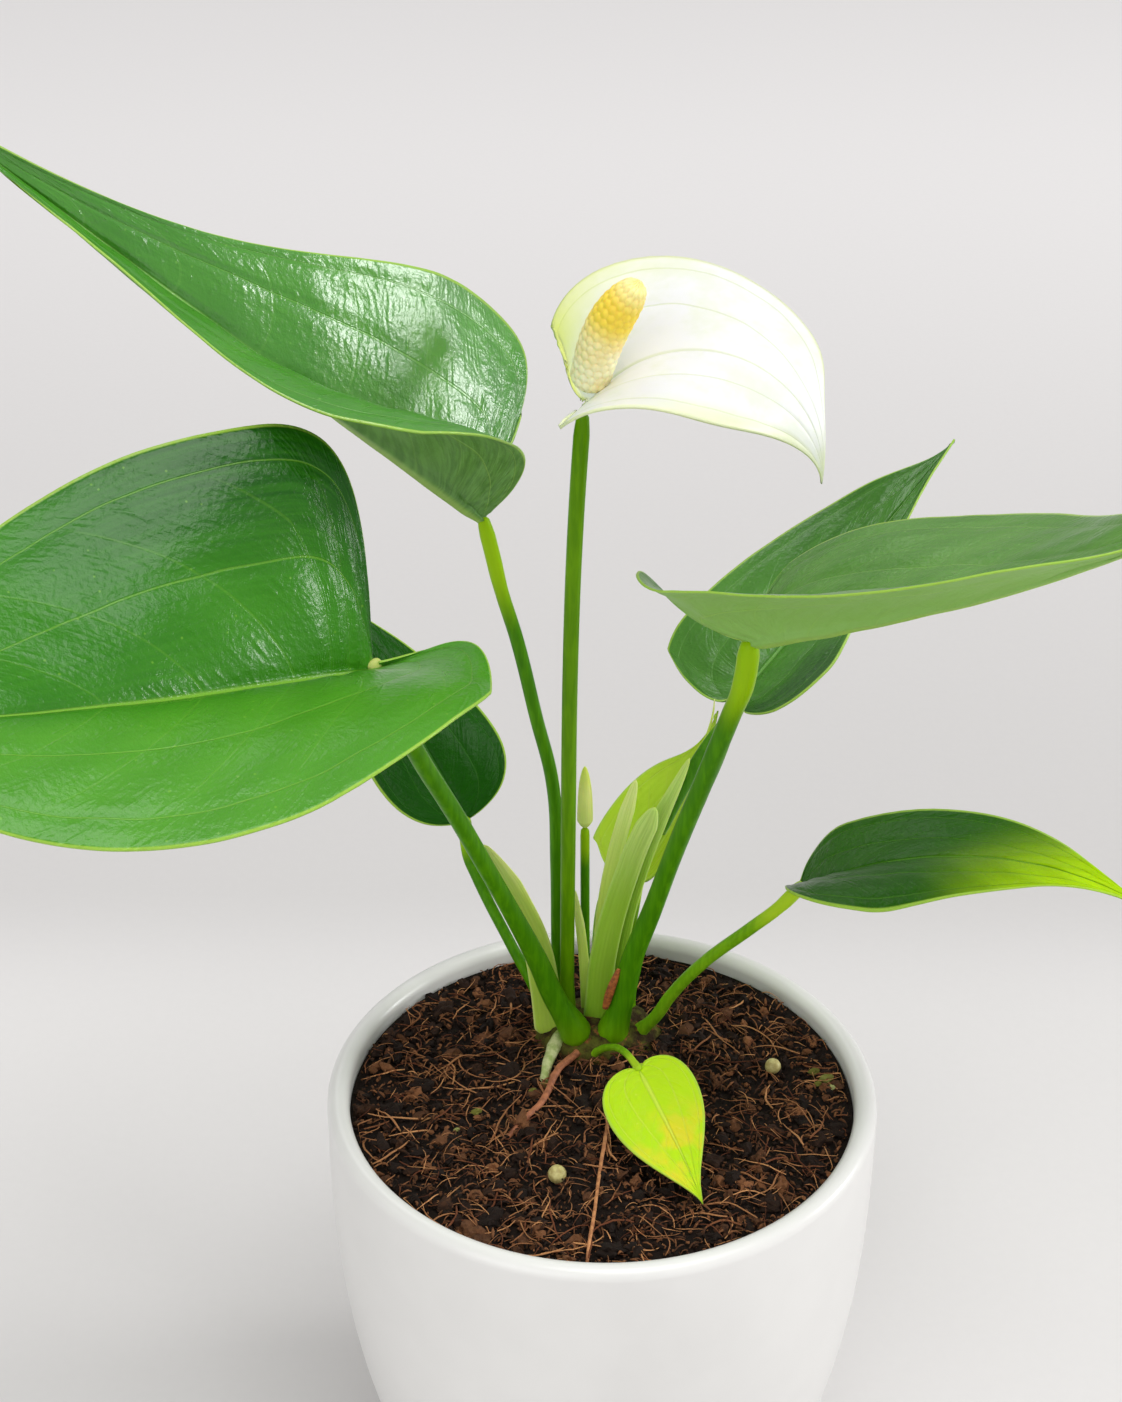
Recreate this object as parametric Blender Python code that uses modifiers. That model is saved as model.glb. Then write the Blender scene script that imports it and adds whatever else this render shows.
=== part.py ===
"""Flowering anthurium in a plain white cover pot.

Metres, +Z up. The origin is the centre of the pot's flat base, and the front of the plant looks along -Y.
"""

from math import cos, pi, radians, sin

import bmesh
import bpy
from mathutils import Matrix, Vector, noise

# Driving dimensions of the pot, in metres
POT_HEIGHT = 0.125
RIM_RADIUS = 0.0675
BASE_RADIUS = 0.048
LIP_THICKNESS = 0.0055
FLOOR_THICKNESS = 0.007
SHOULDER = 0.108
FOOT_ROUND = 0.003
TURNS = 40

# The potting mix and the crown that stands in it
SOIL_LEVEL = 0.120
SOIL_ROUGHNESS = 0.0012
SOIL_LUMP = 1 / 70
MOUND_HEIGHT = 0.0015
MOUND_RADIUS = 0.035
SOIL_RINGS = 9
CROWN_CENTRE = Vector((-0.001, 0.0255, 0.1185))
CROWN_RADII = Vector((0.0165, 0.013, 0.0095))

# Clearance between pieces that rest on one another
GAP = 0.0003

# Thickness of leaves and flower, and half the width of a blade where it leaves its stalk
LEAF_THICKNESS = 0.0007
SINUS = 0.0010
RIB_THICKNESS = 0.0016
SPATHE_THICKNESS = 0.0009

MM = 0.001


# Leaves: where the stalk meets the blade, in millimetres, and how the blade lies.
# heading, pitch and roll turn the midrib; fold raises both halves; bend curves the midrib down.
# lobe, widest, full and point shape the outline as shares of the length; right holds the other half's values.
LEAVES = {
    "upper_left": dict(
        attach=(-27.3, 15.0, 270.7), heading=200, sweep=-14, pitch=43, bend=1, roll=-4, twist=-30,
        length=0.143, width=0.066, lobe=0.0, widest=0.28, full=0.15, point=0.25, notch=0.02,
        fold_base=85, fold_tip=20, curl=60, lobe_curl=35, wave=0.0012,
        right=dict(
            width=0.098, lobe=0.0, widest=0.10, full=0.15, point=0.19, notch=0.60,
            fold_base=52, fold_tip=45, curl=13,
        ),
    ),
    "front_left": dict(
        attach=(-48.6, -30.0, 257.2), heading=223, sweep=-25, pitch=13, bend=0, roll=-18, twist=-20,
        length=0.142, width=0.088, lobe=0.157, widest=0.31, full=0.40, point=0.08, notch=0.02,
        fold_base=45, fold_tip=16, curl=30, lobe_curl=40, wave=0.0015,
        right=dict(
            width=0.107, lobe=0.0, widest=0.13, full=0.60, notch=0.49,
            fold_base=55, fold_tip=0, curl=14, lobe_curl=35,
        ),
    ),
    "back_left": dict(
        attach=(-34.3, 50.0, 169.8), heading=127, sweep=0, pitch=37, bend=3, roll=-16, twist=10,
        length=0.071, width=0.036, lobe=0.0, widest=0.28, full=0.55, point=0.16, notch=0.05,
        fold_base=23, fold_tip=14, curl=12, lobe_curl=20, wave=0.0,
        right=dict(width=0.037, widest=0.26, point=0.06, notch=0.02, fold_base=26, fold_tip=0, curl=21),
    ),
    "back_right": dict(
        attach=(34.4, 55.0, 202.7), heading=38, sweep=8, pitch=36, bend=6, roll=-3, twist=25,
        length=0.090, width=0.052, lobe=0.10, widest=0.10, full=0.79, point=0.12, notch=0.02,
        fold_base=33, fold_tip=0, curl=25, lobe_curl=45, wave=0.0008,
        right=dict(
            width=0.046, lobe=0.05, widest=0.17, full=0.17, point=0.25, notch=0.31,
            fold_base=17, fold_tip=20, curl=-5, lobe_curl=25,
        ),
    ),
    "right": dict(
        attach=(31.3, -5.0, 250.2), heading=-42, sweep=21, pitch=25, bend=-10, roll=-25, twist=25,
        length=0.119, width=0.070, lobe=0.02, widest=0.34, full=0.68, point=0.13, notch=0.60,
        fold_base=63, fold_tip=25, curl=21, lobe_curl=15, wave=0.0010,
        right=dict(
            width=0.056, lobe=0.23, widest=0.23, full=0.77, point=0.10,
            fold_base=36, fold_tip=26, curl=40, lobe_curl=11,
        ),
    ),
    "lower_right": dict(
        attach=(45.6, -5.0, 186.3), heading=-15, sweep=-30, pitch=34, bend=47, roll=-12, twist=25,
        length=0.086, width=0.036, lobe=0.0, widest=0.11, full=0.87, point=0.20, notch=0.23,
        fold_base=14, fold_tip=-4, curl=-10, lobe_curl=21, wave=0.0006,
        right=dict(
            width=0.050, widest=0.25, full=0.26, notch=0.02, fold_base=26, fold_tip=3, curl=25,
        ),
    ),
    "front_small": dict(
        attach=(8.7, -5.0, 133.4), heading=-69, sweep=-8, pitch=-10, bend=-3, roll=9, twist=5,
        length=0.044, width=0.022, lobe=0.035, widest=0.22, full=0.41, point=0.13, notch=0.07,
        fold_base=12, fold_tip=9, curl=6, lobe_curl=6, wave=0.0,
        right=dict(
            width=0.025, lobe=0.03, widest=0.26, full=0.50, point=0.06, notch=0.02,
            fold_base=1, fold_tip=6, curl=11,
        ),
    ),
    "young": dict(
        attach=(10.3, 45.0, 156.3), heading=28, sweep=7, pitch=50, bend=-25, roll=-13, twist=7,
        length=0.048, width=0.034, lobe=0.18, widest=0.26, full=0.59, point=0.19, notch=0.48,
        fold_base=49, fold_tip=16, curl=5, lobe_curl=45, wave=0.0,
        right=dict(
            width=0.022, lobe=0.02, full=0.50, notch=0.05, fold_base=15, fold_tip=26, curl=9, lobe_curl=19,
        ),
    ),
}

SPATHE = dict(
    attach=(-4.2, 11.4, 299.4), heading=-10.6, sweep=-25, pitch=54, bend=146.5, bend_power=1.15, roll=20,
    twist=25, length=0.072, width=0.062, lobe=0.06, widest=0.16, full=0.88, point=0.20, notch=0.20,
    fold_base=24, fold_tip=-22, curl=20, lobe_curl=60, wave=0.0,
    right=dict(
        width=0.056, widest=0.25, full=0.58, point=0.08, notch=0.02,
        fold_base=31, fold_tip=19, curl=3,
    ),
)

# Stalks: radius at the bottom and at the top, and the route from the crown up, in millimetres
LEAF_STALKS = {
    "upper_left": (2.1, 1.6, [
        (-9.5, 32.5, 121), (-10.4, 31, 140), (-11, 28, 171), (-12, 26, 195), (-16, 23, 216),
        (-20, 20, 237), (-23.8, 17, 253), (-25.3, 16, 261),
    ]),
    "front_left": (3.0, 2.1, [
        (-5.2, 19.8, 122.5), (-7.2, 19, 128), (-11.3, 17.5, 137), (-15.9, 14, 152), (-21.8, 8, 170),
        (-28.2, 1, 189), (-34.3, -6, 207), (-41.2, -15, 227), (-45.7, -24, 245),
    ]),
    "back_left": (1.6, 1.4, [
        (-13.5, 27.5, 121.5), (-15.6, 29.5, 129), (-22.5, 35, 141), (-31.8, 44, 157), (-34.1, 47, 162),
    ]),
    "back_right": (1.7, 1.6, [
        (6.5, 30.8, 121), (8.3, 33, 130), (12.8, 37, 145), (19.5, 42, 160), (25.2, 47, 175),
        (30.6, 52, 189),
    ]),
    "right": (3.0, 2.3, [
        (2.2, 20.5, 122), (4.9, 19.5, 133), (7.2, 18.5, 147), (12.2, 15, 166), (17.5, 10, 188),
        (23.4, 5, 210), (28.2, 0, 229), (30.3, -3, 238),
    ]),
    "lower_right": (1.6, 1.5, [
        (8.5, 24, 121), (13.8, 20, 130), (17.5, 17, 139), (24.7, 11, 153), (35.3, 3, 169),
        (41.3, -2, 178.5),
    ]),
    "front_small": (1.0, 0.9, [(-1.8, 15.5, 122), (1.5, 10, 128), (5.1, 3, 132.5)]),
    "young": (1.2, 1.1, [(3.8, 34.5, 119.5), (5.2, 37, 126), (7.8, 41, 140), (9.8, 44, 152)]),
}
# How far each leaf stalk ends below the top face of its blade, in millimetres
STALK_ENDS = {
    "upper_left": 1.3, "front_left": 1.5, "back_left": 1.2, "back_right": 1.1, "right": 1.5,
    "lower_right": 1.4, "front_small": 1.3, "young": 1.3,
}
PEDUNCLE = (1.8, 1.8, [
    (-8.5, 24.3, 123), (-8.5, 23.5, 136), (-8.3, 20, 176), (-7.7, 16, 240), (-6.7, 13.5, 271),
    (-5.2, 11.5, 298.2),
])
BUD_STALK = (1.15, 1.1, [(-3.6, 31, 122.5), (-3.9, 31, 150), (-4.1, 31, 180)])
# Roots: radii, then x, y and the height over the mix, in millimetres
ROOTS = {
    "root_pale": (1.2, 0.7, [(-9.5, 22, 2.0), (-12.3, 15, 1.2), (-13.6, 9.5, 0.5), (-14.6, 5, -2.0)]),
    "root_brown": (0.8, 0.6, [
        (-5, 17.5, -1.0), (-7, 13, 1.0), (-10.3, 9.0, 0.6), (-14.7, -3, 0.4), (-19, -9.5, 0.4),
        (-23.5, -15, -2.0),
    ]),
    "root_thin": (0.5, 0.4, [
        (1.5, -7, -2.0), (1.2, -12, 0.3), (-0.8, -28.5, 0.5), (-2.4, -44, 0.4), (-3.9, -56, 0.3),
        (-4.2, -59, -2.0),
    ]),
}

# Bracts round the young growth: half width, half thickness, route from the crown up, in millimetres
BRACTS = {
    "bract_front": (3.5, 1.3, [
        (-1.0, 24.2, 122.5), (-0.4, 23, 133), (0.5, 23, 146), (6.9, 23, 174), (12.7, 23, 190),
    ]),
    "bract_tall": (2.0, 0.9, [(-0.5, 28.8, 122.5), (0.6, 28.8, 151), (2.6, 28.8, 169), (8.2, 28.5, 195)]),
    "bract_right": (2.2, 0.8, [(2.8, 26.3, 122.5), (3.6, 26, 142), (10, 28, 172), (21.3, 32, 199)]),
    "bract_short": (1.4, 0.7, [(-0.2, 32.5, 122), (-0.6, 32.8, 149), (1.5, 32.8, 164)]),
    "bract_pale": (1.4, 0.6, [(-3.2, 26.6, 123), (-4.5, 26.8, 146), (-6.5, 26.6, 164)]),
    "bract_left": (3.8, 0.6, [
        (-12.6, 22.5, 122), (-14.0, 23.5, 136), (-16, 22, 150), (-20.8, 15, 169), (-28, 4, 192),
    ]),
}

# Flower bud and spadix: largest radius, and the axis from bottom to top, in millimetres
BUD = (1.75, [(-4.1, 31, 180.4), (-4.2, 31, 197)])
SPADIX = (4.8, [(-4.7, 5.6, 304.4), (-0.5, 2.0, 319.7), (6.0, -1.8, 331.1)])
FLORETS_ROUND = 12
FLORET_ROWS = 26
FLORET_RELIEF = 0.00035

# Slow-release pellets lying on the mix: centre and radius, in millimetres
PELLETS = {"pellet_front": ((-10.9, -30.5, 122), 2.2), "pellet_right": ((43.2, 10.7, 121.6), 2.0)}

# Grid of a blade: rows behind and before its widest part, places across one half,
# and the share of the midrib that the side veins of the lobes start from
LOBE_ROWS = 5
FRONT_ROWS = 9
ACROSS = (0.0, 0.07, 0.36, 0.7, 1.0)
LOBE_RIB = 0.10

COLOURS = {
    "ceramic": ((0.85, 0.85, 0.84), 0.25),
    "soil": ((0.045, 0.028, 0.020), 0.95),
    "leaf": ((0.06, 0.19, 0.035), 0.30),
    "young_leaf": ((0.38, 0.52, 0.05), 0.40),
    "stalk": ((0.13, 0.30, 0.03), 0.40),
    "bract": ((0.42, 0.55, 0.15), 0.45),
    "spathe": ((0.86, 0.88, 0.74), 0.45),
    "spadix": ((0.85, 0.66, 0.16), 0.60),
    "crown": ((0.16, 0.15, 0.05), 0.70),
    "root": ((0.30, 0.13, 0.06), 0.70),
    "pellet": ((0.62, 0.53, 0.25), 0.50),
}


def start_scene():
    for obj in list(bpy.data.objects):
        bpy.data.objects.remove(obj, do_unlink=True)
    plant = bpy.data.collections.new("potted_anthurium")
    cutters = bpy.data.collections.new("cutters")
    for collection in (plant, cutters):
        bpy.context.scene.collection.children.link(collection)
    return plant, cutters


def make_materials():
    made = {}
    for name, (colour, roughness) in COLOURS.items():
        material = bpy.data.materials.new(name)
        material.use_nodes = True
        shader = material.node_tree.nodes["Principled BSDF"]
        shader.inputs["Base Color"].default_value = (*colour, 1.0)
        shader.inputs["Roughness"].default_value = roughness
        made[name] = material
    return made


def settle(obj, name, collection, material=None):
    """Names an object, puts it in one collection and gives it its material."""
    obj.name = name
    obj.data.name = name
    for old in list(obj.users_collection):
        old.objects.unlink(obj)
    collection.objects.link(obj)
    if material is not None:
        obj.data.materials.clear()
        obj.data.materials.append(material)
    if collection is CUTTERS:
        obj.hide_render = True
        obj.display_type = "WIRE"
    return obj


def weld(mesh, distance=1e-6, split=False):
    body = bmesh.new()
    body.from_mesh(mesh)
    bmesh.ops.remove_doubles(body, verts=body.verts, dist=distance)
    if split:
        bmesh.ops.triangulate(body, faces=body.faces)
    body.to_mesh(mesh)
    body.free()


def bezier(points, share):
    a, b, c, d = (Vector(p) for p in points)
    rest = 1 - share
    return rest**3 * a + 3 * rest**2 * share * b + 3 * rest * share**2 * c + share**3 * d


def subtract(target, cutter):
    cut = target.modifiers.new("cut_" + cutter.name, "BOOLEAN")
    cut.operation = "DIFFERENCE"
    cut.solver = "EXACT"
    cut.object = cutter


def shaped_grid(name, rows, columns, place, collection, material=None, split=False):
    """Moves every vertex of a flat grid to place(row, column) and welds what then coincides."""
    bpy.ops.mesh.primitive_grid_add(x_subdivisions=rows, y_subdivisions=columns, size=2)
    obj = bpy.context.object
    for vertex in obj.data.vertices:
        row = round((vertex.co.x + 1) / 2 * rows)
        column = round((vertex.co.y + 1) / 2 * columns)
        vertex.co = place(row, column)
    weld(obj.data, split=split)
    return settle(obj, name, collection, material)


def turned(name, profile, collection, material):
    """A profile of (radius, height) at +X, down its outer side first, turned round Z."""
    mesh = bpy.data.meshes.new(name)
    corners = [(radius, 0.0, height) for radius, height in profile]
    mesh.from_pydata(corners, [(i, i + 1) for i in range(len(corners) - 1)], [])
    obj = settle(bpy.data.objects.new(name, mesh), name, collection, material)
    screw = obj.modifiers.new("turn", "SCREW")
    screw.steps = TURNS
    screw.render_steps = TURNS
    screw.use_merge_vertices = True
    screw.merge_threshold = 1e-5
    screw.use_smooth_shade = True
    return obj


def evaluated_copy(obj):
    """Replaces an object's mesh by what its modifiers make of it."""
    graph = bpy.context.evaluated_depsgraph_get()
    mesh = bpy.data.meshes.new_from_object(obj.evaluated_get(graph))
    obj.modifiers.clear()
    obj.data = mesh
    return obj


def wall_curve(inset, bottom, count):
    """The pot's wall from shoulder to bottom, moved inwards by inset."""
    ends = [
        (RIM_RADIUS - inset, SHOULDER),
        (RIM_RADIUS - inset, SHOULDER * 0.57),
        (RIM_RADIUS * 0.89 - inset, bottom + POT_HEIGHT * 0.22),
        (BASE_RADIUS - inset, bottom),
    ]
    return [tuple(bezier(ends, i / count)) for i in range(count + 1)]


def make_pot(material):
    half_lip = LIP_THICKNESS / 2
    middle = RIM_RADIUS - half_lip
    lip_height = POT_HEIGHT - half_lip
    lip = [
        (middle - half_lip * cos(pi * i / 8), lip_height + half_lip * sin(pi * i / 8))
        for i in range(9)
    ]
    inner = wall_curve(LIP_THICKNESS, FLOOR_THICKNESS, 8)
    outer = wall_curve(0.0, FOOT_ROUND, 9)
    foot = [(BASE_RADIUS - FOOT_ROUND * 0.6, 0.0008), (BASE_RADIUS - FOOT_ROUND * 1.6, 0.0), (0.0, 0.0)]
    profile = [(0.0, FLOOR_THICKNESS)] + inner[::-1] + lip + outer + foot
    return turned("pot", profile, PLANT, material)


def soil_height(x, y):
    """Uneven surface of the mix, a little higher round the crown."""
    spot = Vector((x, y, 0.0))
    rough = noise.noise(spot / SOIL_LUMP) + 0.4 * noise.noise(spot / SOIL_LUMP * 2.1)
    mound = MOUND_HEIGHT * max(0.0, 1 - (spot.xy - CROWN_CENTRE.xy).length / MOUND_RADIUS)
    return SOIL_LEVEL + mound + SOIL_ROUGHNESS * rough


def make_soil(material):
    inset = LIP_THICKNESS + GAP
    outer = wall_curve(inset, FLOOR_THICKNESS + GAP, 8)
    bottom = FLOOR_THICKNESS + GAP
    reach = RIM_RADIUS - inset
    top = [(reach * i / SOIL_RINGS, SOIL_LEVEL) for i in range(SOIL_RINGS + 1)]
    obj = turned("soil", top + outer + [(0.0, bottom)], PLANT, material)
    evaluated_copy(obj)
    for vertex in obj.data.vertices:
        if vertex.co.z > SOIL_LEVEL - 1e-4:
            vertex.co.z = soil_height(vertex.co.x, vertex.co.y)
    return obj


def make_tube(name, route, radii, collection, material=None, grow=0.0, steps=3, sides=2):
    """A round stalk along a route in millimetres, its radius changing from bottom to top."""
    curve = bpy.data.curves.new(name, "CURVE")
    curve.dimensions = "3D"
    curve.resolution_u = steps
    curve.bevel_depth = 1.0
    curve.bevel_resolution = sides
    curve.use_fill_caps = True
    line = curve.splines.new("BEZIER")
    line.bezier_points.add(len(route) - 1)
    for i, (knot, place) in enumerate(zip(line.bezier_points, route)):
        share = i / (len(route) - 1)
        knot.co = Vector(place) * MM
        knot.handle_left_type = "AUTO"
        knot.handle_right_type = "AUTO"
        knot.radius = (radii[0] + (radii[1] - radii[0]) * min(1.0, share * 2.5)) * MM + grow
    source = bpy.data.objects.new(name, curve)
    bpy.context.scene.collection.objects.link(source)
    graph = bpy.context.evaluated_depsgraph_get()
    mesh = bpy.data.meshes.new_from_object(source.evaluated_get(graph))
    bpy.data.objects.remove(source, do_unlink=True)
    weld(mesh, 1e-5)
    mesh.shade_smooth()
    mesh.set_sharp_from_angle(angle=radians(50))
    return settle(bpy.data.objects.new(name, mesh), name, collection, material)


def longer(route, extra=0.4):
    """The same route with both ends moved outwards along it by extra millimetres."""
    knots = [Vector(p) for p in route]
    first = knots[0] + (knots[0] - knots[1]).normalized() * extra
    last = knots[-1] + (knots[-1] - knots[-2]).normalized() * extra
    return [tuple(p) for p in [first] + knots[1:-1] + [last]]


def below_blade(last, attach, short):
    """The top of a leaf stalk, short of its blade by the given distance in millimetres."""
    last, attach = Vector(last), Vector(attach)
    return tuple(attach - (attach - last).normalized() * short)


def smooth_step(share):
    share = min(max(share, 0.0), 1.0)
    return share * share * (3 - 2 * share)


def half_of(leaf, side):
    """The values of one half of a blade; right replaces those that differ on its right half."""
    return dict(leaf, **leaf["right"]) if side < 0 else leaf


def half_outline(leaf, side):
    """Outline points of one half of a blade, from the stalk round the lobe to the tip."""
    half = half_of(leaf, side)
    length, width = leaf["length"], half["width"] / 2
    lobe, widest = half["lobe"] * length, half["widest"] * length
    back = [
        (0, SINUS), (-1.45 * lobe, SINUS + half["notch"] * width),
        (-1.15 * lobe - 0.02 * length, width), (widest, width),
    ]
    point = half["point"] * length
    front = [
        (widest, width), (widest + half["full"] * (length - widest), width),
        (length - 2.2 * point, 0.22 * point), (length, 0),
    ]
    points = [bezier(back, i / LOBE_ROWS) for i in range(LOBE_ROWS + 1)]
    return points + [bezier(front, i / FRONT_ROWS) for i in range(1, FRONT_ROWS + 1)]


def midrib_frames(leaf, count=48):
    """Points and directions along the curved midrib: place, forward, left and up."""
    place = Vector(leaf["attach"]) * MM
    frames, previous = [], None
    for i in range(count + 1):
        share = i / count
        heading = radians(leaf["heading"] + leaf["sweep"] * share**2)
        left = Vector((-sin(heading), cos(heading), 0))
        pitch = radians(leaf["pitch"] - leaf["bend"] * share ** leaf.get("bend_power", 1.0))
        forward = Vector((cos(heading) * cos(pitch), sin(heading) * cos(pitch), sin(pitch)))
        turn = Matrix.Rotation(radians(leaf["roll"] + leaf["twist"] * share), 3, forward)
        if previous is not None:
            place = place + (forward + previous) / 2 * leaf["length"] / count
        previous = forward
        frames.append((place, forward, turn @ left, turn @ forward.cross(left)))
    return frames


def blade_point(leaf, frames, outlines, row, across):
    """Where one point of a blade lies; across runs from -1 at the right margin to 1 at the left one."""
    length, side, reach = leaf["length"], (1 if across > 0 else -1), abs(across)
    if row <= LOBE_ROWS:
        rib = length * LOBE_RIB * row / LOBE_ROWS
    else:
        rib = length * (LOBE_RIB + (1 - LOBE_RIB) * (row - LOBE_ROWS) / FRONT_ROWS)
    edge_x, edge_y = outlines[side][row]
    x = rib + (edge_x - rib) * reach
    y = edge_y * reach
    share = x / length
    step = min(max(share, 0.0), 1.0) * (len(frames) - 1)
    low = min(int(step), len(frames) - 2)
    place, forward, left, up = (a.lerp(b, step - low) for a, b in zip(frames[low], frames[low + 1]))
    half = half_of(leaf, side)
    fold = radians(half["fold_base"] + (half["fold_tip"] - half["fold_base"]) * smooth_step(share / 0.7))
    bow = radians(half["curl"]) / (leaf["width"] / 2)
    out = (sin(fold) - sin(fold - bow * y)) / bow
    rise = (cos(fold - bow * y) - cos(fold)) / bow
    if share < 0:
        roll_back = radians(half["lobe_curl"]) / (max(leaf["lobe"], 0.05) * length)
        turn = roll_back * -x
        place = place - forward * (sin(turn) / roll_back) + up * ((1 - cos(turn)) / roll_back)
        up = up * cos(turn) + forward * sin(turn)
    rows = LOBE_ROWS + FRONT_ROWS
    rise += leaf["wave"] * sin(5.0 * pi * row / rows + side) * reach**3
    return place + left * out * side + up * rise


def make_sheet(name, leaf, collection, material=None):
    """The open surface of a blade, with the vertex group that thickens its midrib."""
    frames = midrib_frames(leaf)
    outlines = {1: half_outline(leaf, 1), -1: half_outline(leaf, -1)}
    positions = [-a for a in ACROSS[:0:-1]] + list(ACROSS)

    def place(row, column):
        return blade_point(leaf, frames, outlines, row, positions[column])

    rows, columns = LOBE_ROWS + FRONT_ROWS, len(positions) - 1
    sheet = shaped_grid(name, rows, columns, place, collection, material, split=True)
    sheet.data.shade_smooth()
    return sheet


def thicken(sheet, leaf, thickness, rib):
    """Solidify downwards; the midrib is thicker than the rest and thins towards the tip."""
    frames = midrib_frames(leaf)
    group = sheet.vertex_groups.new(name="rib")
    for vertex in sheet.data.vertices:
        distances = [(vertex.co - frame[0]).length for frame in frames]
        nearest = min(distances)
        share = distances.index(nearest) / (len(frames) - 1)
        if nearest < 1e-4:
            group.add([vertex.index], max(0.0, 1.0 - share), "REPLACE")
    solid = sheet.modifiers.new("thickness", "SOLIDIFY")
    solid.thickness = rib
    solid.offset = -1
    solid.vertex_group = "rib"
    solid.thickness_vertex_group = thickness / rib
    solid.use_rim = True
    return sheet


def make_blade(name, leaf, material, thickness=LEAF_THICKNESS, rib=RIB_THICKNESS):
    return thicken(make_sheet(name, leaf, PLANT, material), leaf, thickness, rib)


def spindle(name, route, radii, swell, collection, material=None, rows=9, columns=10, relief=None, grow=0.0):
    """A body along a route, of half width and half thickness radii times swell(share), closed at its ends."""
    knots = [Vector(p) * MM for p in route]
    front = Vector((0, -1, 0))

    def centre(share):
        step = share * (len(knots) - 1)
        low = min(int(step), len(knots) - 2)
        before, after = knots[max(low - 1, 0)], knots[min(low + 2, len(knots) - 1)]
        a, b, t = knots[low], knots[low + 1], step - low
        first, last = (b - before) / 2, (after - a) / 2
        return (
            (2 * t**3 - 3 * t**2 + 1) * a + (t**3 - 2 * t**2 + t) * first
            + (3 * t**2 - 2 * t**3) * b + (t**3 - t**2) * last
        )

    def place(row, column):
        share = row / rows
        along = (centre(min(share + 0.01, 1)) - centre(max(share - 0.01, 0))).normalized()
        wide = along.cross(front).normalized()
        deep = wide.cross(along)
        angle = 2 * pi * (column % columns) / columns
        size = swell(share)
        extra = (grow + (relief(row, column % columns) if relief else 0)) if size > 0 else 0
        return (
            centre(share) + wide * cos(angle) * (radii[0] * size + extra)
            + deep * sin(angle) * (radii[1] * size + extra)
        )

    obj = shaped_grid(name, rows, columns, place, collection, material)
    obj.data.shade_smooth()
    return obj


def bract_swell(share):
    """Narrow where it leaves the crown, widest in the middle, ending in a blunt point."""
    if share <= 0 or share >= 1:
        return 0.0
    return min(1.0, 0.55 + 0.9 * share) * min(1.0, ((1 - share) * 2.6) ** 0.55)


def bud_swell(share):
    return max(0.0, sin(pi * min(1.0, share**0.8))) ** 0.5 if 0 < share < 1 else 0.0


def spadix_swell(share):
    """A short narrow foot, a nearly even finger and a round tip."""
    if share <= 0 or share >= 1:
        return 0.0
    body = 0.28 + 0.72 * smooth_step((share - 0.08) / 0.16)
    return body * (0.86 + 0.14 * sin(pi * share)) * (1 - share**8) ** 0.5


def make_crown(name, collection, material=None, grow=0.0):
    bpy.ops.mesh.primitive_uv_sphere_add(segments=20, ring_count=10, radius=1.0)
    obj = bpy.context.object
    for vertex in obj.data.vertices:
        knobs = 1 + 0.05 * noise.noise(vertex.co * 2.2)
        radii = CROWN_RADII * knobs + Vector((grow, grow, grow))
        vertex.co = CROWN_CENTRE + Vector(a * b for a, b in zip(vertex.co, radii))
    obj.data.shade_smooth()
    return settle(obj, name, collection, material)


def make_pellet(name, centre, radius, collection, material=None):
    bpy.ops.mesh.primitive_ico_sphere_add(subdivisions=2, radius=radius * MM, location=Vector(centre) * MM)
    obj = bpy.context.object
    obj.data.shade_smooth()
    return settle(obj, name, collection, material)


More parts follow.
